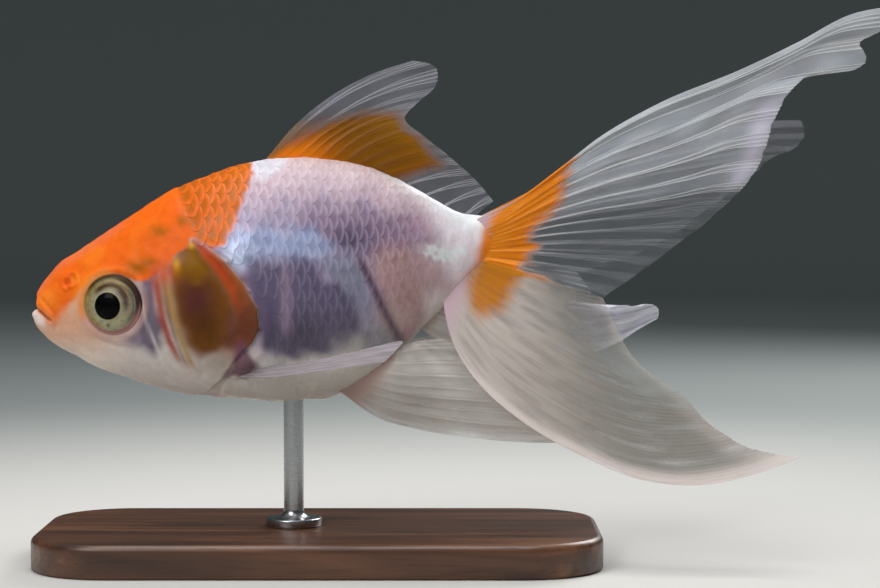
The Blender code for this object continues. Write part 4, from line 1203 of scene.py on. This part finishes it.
def lower_paint(tint, middle, s, t, bone):
    """Grey skin on the near lower lobe, darkened in its middle as painted shade, pale on its leading ray,
    with a little orange at the root.
    """
    # Painted shade: the lobe's middle is darkened to grey for the shade and dark ground that show through
    # it, and lightens again at the edge.
    lay(tint, "#6E706C", 0.8 * smooth(s, 0.25, 0.75) * (1 - 0.7 * smooth(s, 0.9, 1.0)))
    lay(tint, "#E6D6D0", 0.8 * smooth(t, 0.13, 0.02) * smooth(s, 0.08, 0.25))
    return tail_orange(TAIL_LOWER_LEFT, "#C07404", "#CC8010", 2.0, 0.06)(tint, middle, s, t, bone)


def lower_web(s, t):
    """The near lower lobe's skin: milky, and clearer at its free edge away from the leading ray."""
    return 0.96 - 0.5 * smooth(s, 0.62, 0.85) * smooth(t, 0.3, 0.8)


def far_lower_web(s, t):
    """The far lower lobe's skin, milky at its free edge and clear where it meets the upper lobe."""
    return (0.42 + 0.44 * smooth(s, 0.75, 0.83)) * (1 - 0.85 * smooth(t, 0.68, 0.84))


MILK = {"web_tint": "#D2CCC6", "ray_tint": "#EEE8E2"}
WARM = {"web_tint": "#BCB2AA", "ray_tint": "#DCD4CE"}  # milky skin, where the fins are thicker
fin_piece(
    "dorsal_sail", DORSAL, 14, 60, lambda s, t: 0.34 - 0.12 * smooth(t, 0.5, 0.8), ["dorsal_fin"], 1,
    fold=0.04, forks=(0.3, 0.6), bright=0.6, ribs=0.3, orange=dorsal_orange,
)
fin_piece(
    "tail_lobe_upper_left", TAIL_UPPER_LEFT, 15, 110, upper_web, ["tail_upper_left"], 2,
    fork=0.14, forks=(0.5, 0.78), fold=0.15, web_tint="#C4CAD2", ray_tint="#FFFFFF",
    fade=lambda s, t: 0.72 * smooth(t, 0.52, 0.66) * smooth(s, 0.2, 0.6), orange=upper_paint,
)
fin_piece(
    "tail_lobe_lower_left", TAIL_LOWER_LEFT, 12, 90, lower_web, ["tail_lower_left"], 3,
    fork=0.24, forks=(0.15, 0.4), fold=0.03, bright=0.25, ribs=0.15, orange=lower_paint, **WARM,
)
fin_piece(
    "tail_lobe_upper_right", TAIL_UPPER_RIGHT, 13, 90, lambda s, t: 0.2 - 0.12 * t,
    ["tail_upper_right"], 4, fork=0.12, fold=0.2, bright=0.45,
    orange=tail_orange(TAIL_UPPER_LEFT, "#E67A10", "#F29A2C", 1.3, 0.3),
)
fin_piece(
    "tail_lobe_lower_right", TAIL_LOWER_RIGHT, 10, 80, far_lower_web, ["tail_lower_right"], 5,
    fork=0.24, forks=(0.2, 0.5), fold=0.1, bright=0.6, ribs=0.7, web_tint="#E2E4F4",
    fade=lambda s, t: 0.5 * smooth(s, 0.8, 0.7),
    orange=tail_orange(TAIL_LOWER_LEFT, "#D67C04", "#DE8A14", 1.6, 0.1),
)
for side_name, turned_over in (("left", dict), ("right", mirrored)):
    fin_piece(
        f"pectoral_blade_{side_name}", turned_over(PECTORAL), 11, 50, lambda s, t: 0.85 + 0 * s,
        [f"pectoral_{side_name}"], 6, fold=0.04, bright=0.4, ribs=0.55, web_tint="#9E959A",
        ray_tint="#B6AEB4",
    )
    fin_piece(
        f"pelvic_blade_{side_name}", turned_over(PELVIC), 8, 70,
        lambda s, t: 0.78 - 0.2 * smooth(s, 0.3, 1.0), [f"pelvic_{side_name}"], 7, fork=0.22,
        forks=(0.15, 0.45), fold=0.1, bright=0.5, ribs=0.5, root_tint="#BC9C92", **MILK,
    )
    fin_piece(
        f"anal_blade_{side_name}", turned_over(ANAL), 7, 50, lambda s, t: 0.7 + 0 * s,
        [f"anal_{side_name}"], 8, fork=0.22, forks=(0.2, 0.5), fold=0.08, bright=0.4, ribs=0.5,
        root_tint="#D8C8C0", **MILK,
    )

# ------------------------------------------------------------------ stand
# A walnut plinth with rounded corners and a turned steel rod, screwed into it through a small
# flange. The rod's other end is in the fish's belly, under its balance point.

PLINTH = (84.0, 42.0, 5.0)  # length, width and height
PLINTH_CORNER, PLINTH_EDGE = 12.0, 1.0
ROD_X, ROD_RADIUS, ROD_TOP = -4.0, 1.5, 27.0
FLANGE_RADIUS, FLANGE_HEIGHT, FLANGE_FILLET = 4.2, 1.3, 1.2
FLANGE_EDGE, FLANGE_GAP = 0.25, 0.02  # its top edge's rounding, and the gap left under it
SPOKES = 96  # points round the rod, and round the floor

# Oiled walnut: long brown grain drawn out along the board, with open pores that catch the light.
walnut, tree = new_finish("oiled_walnut", IOR=1.5, Coat_Weight=0.15, Coat_Roughness=0.25)
place = add(tree, "TexCoord", give="Object")
drawn_out = add(tree, "Mapping", {"Vector": place, "Scale": (0.09, 1.0, 1.0)})
bend = add(tree, "TexNoise", {"Vector": drawn_out, "Scale": 1 / (9 * MM), "Detail": 3.0}, "Color")
bent = add(tree, "Mix", {0: 0.0025, 4: drawn_out, 5: bend}, 1, data_type="VECTOR")
wavy = {"Vector": bent, "Scale": 1 / (3.2 * MM), "Detail": 5.0, "Distortion": 0.6}
grain = add(tree, "ValToRGB", {"Fac": add(tree, "TexNoise", wavy)})
grain_tones = grain.node.color_ramp.elements
grain_tones[0].position, grain_tones[1].position = 0.32, 0.72
grain_tones[0].color = (*linear("#3B2417"), 1)
grain_tones[1].color = (*linear("#7A5136"), 1)
grain_tones.new(0.55).color = (*linear("#5C3A26"), 1)
pores = add(tree, "Mapping", {"Vector": place, "Scale": (0.06, 1.0, 1.0)})
pores = add(tree, "TexNoise", {"Vector": pores, "Scale": 1 / (0.5 * MM), "Detail": 4.0})
pores = add(tree, "MapRange", {"Value": pores, "From Min": 0.55, "From Max": 0.75})
dark = add(tree, "MapRange", {"Value": pores, "To Min": 1.0, "To Max": 0.55})
wood = add(tree, "Mix", {0: 1.0, 6: grain, 7: dark}, 2, data_type="RGBA", blend_type="MULTIPLY")
gloss = add(tree, "MapRange", {"Value": pores, "To Min": 0.38, "To Max": 0.6})
bump = add(tree, "Bump", {"Height": dark, "Strength": 0.35, "Distance": 0.06 * MM})
feed(tree, Base_Color=wood, Roughness=gloss, Normal=bump)

corner_turns = np.linspace(0, math.pi / 2, 17)
ways = np.concatenate([corner_turns + i * math.pi / 2 for i in range(4)])
corners = np.array([(1, 1), (-1, 1), (-1, -1), (1, -1)])
centres = np.repeat(corners * (np.array(PLINTH[:2]) / 2 - PLINTH_CORNER), len(corner_turns), axis=0)
section = [(-0.4, 0.0), (0.0, 0.4)]  # how far out each ring up the side is, and its height
for turn in np.linspace(0, math.pi / 2, 7):
    fall = PLINTH_EDGE * (1 - math.sin(turn))
    section.append((-PLINTH_EDGE * (1 - math.cos(turn)), PLINTH[2] - fall))
loops = []
for out, height in section:
    ring = centres + (PLINTH_CORNER + out) * np.stack([np.cos(ways), np.sin(ways)], 1)
    loops.append(np.column_stack([ring, np.full(len(ring), height)]))
top_ring, bottom_ring = loops[-1], loops[0]
loops += [top_ring * np.array([share, share, 1]) for share in (0.75, 0.5, 0.25)]
loops = [bottom_ring * np.array([0.6, 0.6, 1]), *loops]
points, faces, maps = closed_tube(loops, np.arange(len(loops)) / (len(loops) + 1) + 0.05)
plinth = new_piece("plinth", points, faces, maps, walnut, "walnut", ["stand_base"])
for face in plinth.data.polygons:  # its top and underside are planed flat
    face.use_smooth = abs(face.normal.z) < 0.99

# Steel rod: turned and then rubbed with fine grit, which leaves rings round it that spread its
# highlights along the rod.
steel, tree = new_finish("brushed_steel", Metallic=1.0, Base_Color=(*linear("#B9BBBD"), 1))
place = add(tree, "TexCoord", give="Object")
rubbed = add(tree, "Mapping", {"Vector": place, "Scale": (0.15, 0.15, 1.0)})
rubbed = add(tree, "TexNoise", {"Vector": rubbed, "Scale": 1 / (0.3 * MM), "Detail": 3.0})
gloss = add(tree, "MapRange", {"Value": rubbed, "To Min": 0.24, "To Max": 0.32})
bump = add(tree, "Bump", {"Height": rubbed, "Strength": 0.05, "Distance": 0.02 * MM})
feed(tree, Roughness=gloss, Normal=bump)

flange_foot = PLINTH[2] + FLANGE_GAP
flange_top = flange_foot + FLANGE_HEIGHT
profile = [(FLANGE_RADIUS - 0.15, flange_foot), (FLANGE_RADIUS, flange_foot + 0.15)]  # radius, z
for turn in np.linspace(0, math.pi / 2, 5):
    fall = FLANGE_EDGE * (1 - math.sin(turn))
    profile.append((FLANGE_RADIUS - FLANGE_EDGE * (1 - math.cos(turn)), flange_top - fall))
for turn in np.linspace(0, math.pi / 2, 9):
    climb = FLANGE_FILLET * (1 - math.cos(turn))
    profile.append((ROD_RADIUS + FLANGE_FILLET * (1 - math.sin(turn)), flange_top + climb))
shaft = np.linspace(flange_top + FLANGE_FILLET + 0.5, ROD_TOP - 0.3, 12)
profile += [(ROD_RADIUS, z) for z in shaft] + [(ROD_RADIUS - 0.3, ROD_TOP)]
spin = np.linspace(0, 2 * math.pi, SPOKES, endpoint=False)
circles = [(ROD_X + r * np.cos(spin), r * np.sin(spin), z + 0 * spin) for r, z in profile]
loops = [np.stack(circle, 1) for circle in circles]
points, faces, maps = closed_tube(loops, np.arange(len(loops)) / (len(loops) + 1) + 0.05)
new_piece("rod", points, faces, maps, steel, "steel", ["stand_rod"])

# ------------------------------------------------------------------ floor, light and camera
# Matt paper, pale under the stand and fading to grey round it, with soft boxes above, in front on
# the left and behind, so that light comes through the fins.

FLOOR_REACH, SWEEP, WALL_TOP = 900.0, 400.0, 900.0  # the flat part, the curve and the wall

# Matt paper gives no gloss, only a soft fall-off of light and the stand's shadow.
paper, tree = new_finish("matt_studio_paper", Roughness=0.9)
place = add(tree, "TexCoord", give="Object")
away = add(tree, "VectorMath", {0: place}, "Value", operation="LENGTH")
span = {"Value": away, "From Min": 60 * MM, "From Max": 300 * MM}
fade = add(tree, "MapRange", span, interpolation_type="SMOOTHSTEP")
pale, grey = ((*linear(code), 1) for code in ("#CBC9C4", "#878D8B"))
feed(tree, Base_Color=add(tree, "Mix", {0: fade, 6: pale, 7: grey}, 2, data_type="RGBA"))

profile = [(0.5, 0.0), (60.0, 0.0), (300.0, 0.0), (FLOOR_REACH, 0.0)]
for turn in np.linspace(0, math.pi / 2, 14)[1:]:
    profile.append((FLOOR_REACH + SWEEP * math.sin(turn), SWEEP - SWEEP * math.cos(turn)))
profile.append((FLOOR_REACH + SWEEP, WALL_TOP))
paper_points = [[r * math.cos(w) * MM, r * math.sin(w) * MM, z * MM] for r, z in profile for w in spin]
paper_faces = []
for start in range(0, (len(profile) - 1) * SPOKES, SPOKES):
    for j in range(SPOKES):
        here, after = start + j, start + (j + 1) % SPOKES
        paper_faces.append([here, after, after + SPOKES, here + SPOKES])
paper_faces.append(list(range(SPOKES - 1, -1, -1)))
floor_mesh = bpy.data.meshes.new("floor")
floor_mesh.from_pydata(paper_points, [], paper_faces)
floor_mesh.materials.append(paper)
floor_mesh.shade_smooth()
floor = bpy.data.objects.new("floor", floor_mesh)
bpy.context.scene.collection.objects.link(floor)

studio = bpy.data.worlds.new("studio")
studio.use_nodes = True
sky = studio.node_tree.nodes["Background"].inputs
sky["Color"].default_value = (*linear("#C9D2DC"), 1)
sky["Strength"].default_value = 0.24
bpy.context.scene.world = studio
bpy.context.scene.view_settings.view_transform = "Standard"


def point_at(thing, place, aim):
    """Puts a lamp or camera at a place and turns it to an aim."""
    thing.location = Vector(place) * MM
    thing.rotation_euler = (Vector(aim) - Vector(place)).to_track_quat("-Z", "Y").to_euler()


def soft_box(name, power, width, place, aim):
    """A square lamp that spreads its light evenly."""
    light = bpy.data.lights.new(name, "AREA")
    light.energy = power
    light.size = width * MM
    lamp = bpy.data.objects.new(name, light)
    bpy.context.scene.collection.objects.link(lamp)
    point_at(lamp, place, aim)


soft_box("top_box", 1.3, 300, (-20, -60, 430), (0, 0, 40))
soft_box("front_box", 1.25, 260, (-230, -350, 330), (0, 0, 40))
soft_box("back_box", 1.5, 240, (240, 330, 300), (30, 0, 45))

CAMERA_AWAY, CAMERA_RISE = 366.67, math.radians(2.5)
AIM = (18.0, 0.0, 39.9)
lens = bpy.data.cameras.new("camera")
lens.lens = 100
lens.sensor_width = 36
lens.clip_start = 0.01
camera = bpy.data.objects.new("camera", lens)
bpy.context.scene.collection.objects.link(camera)
back_off, climb = CAMERA_AWAY * math.cos(CAMERA_RISE), CAMERA_AWAY * math.sin(CAMERA_RISE)
point_at(camera, (AIM[0], -back_off, AIM[2] + climb), AIM)
bpy.context.scene.camera = camera
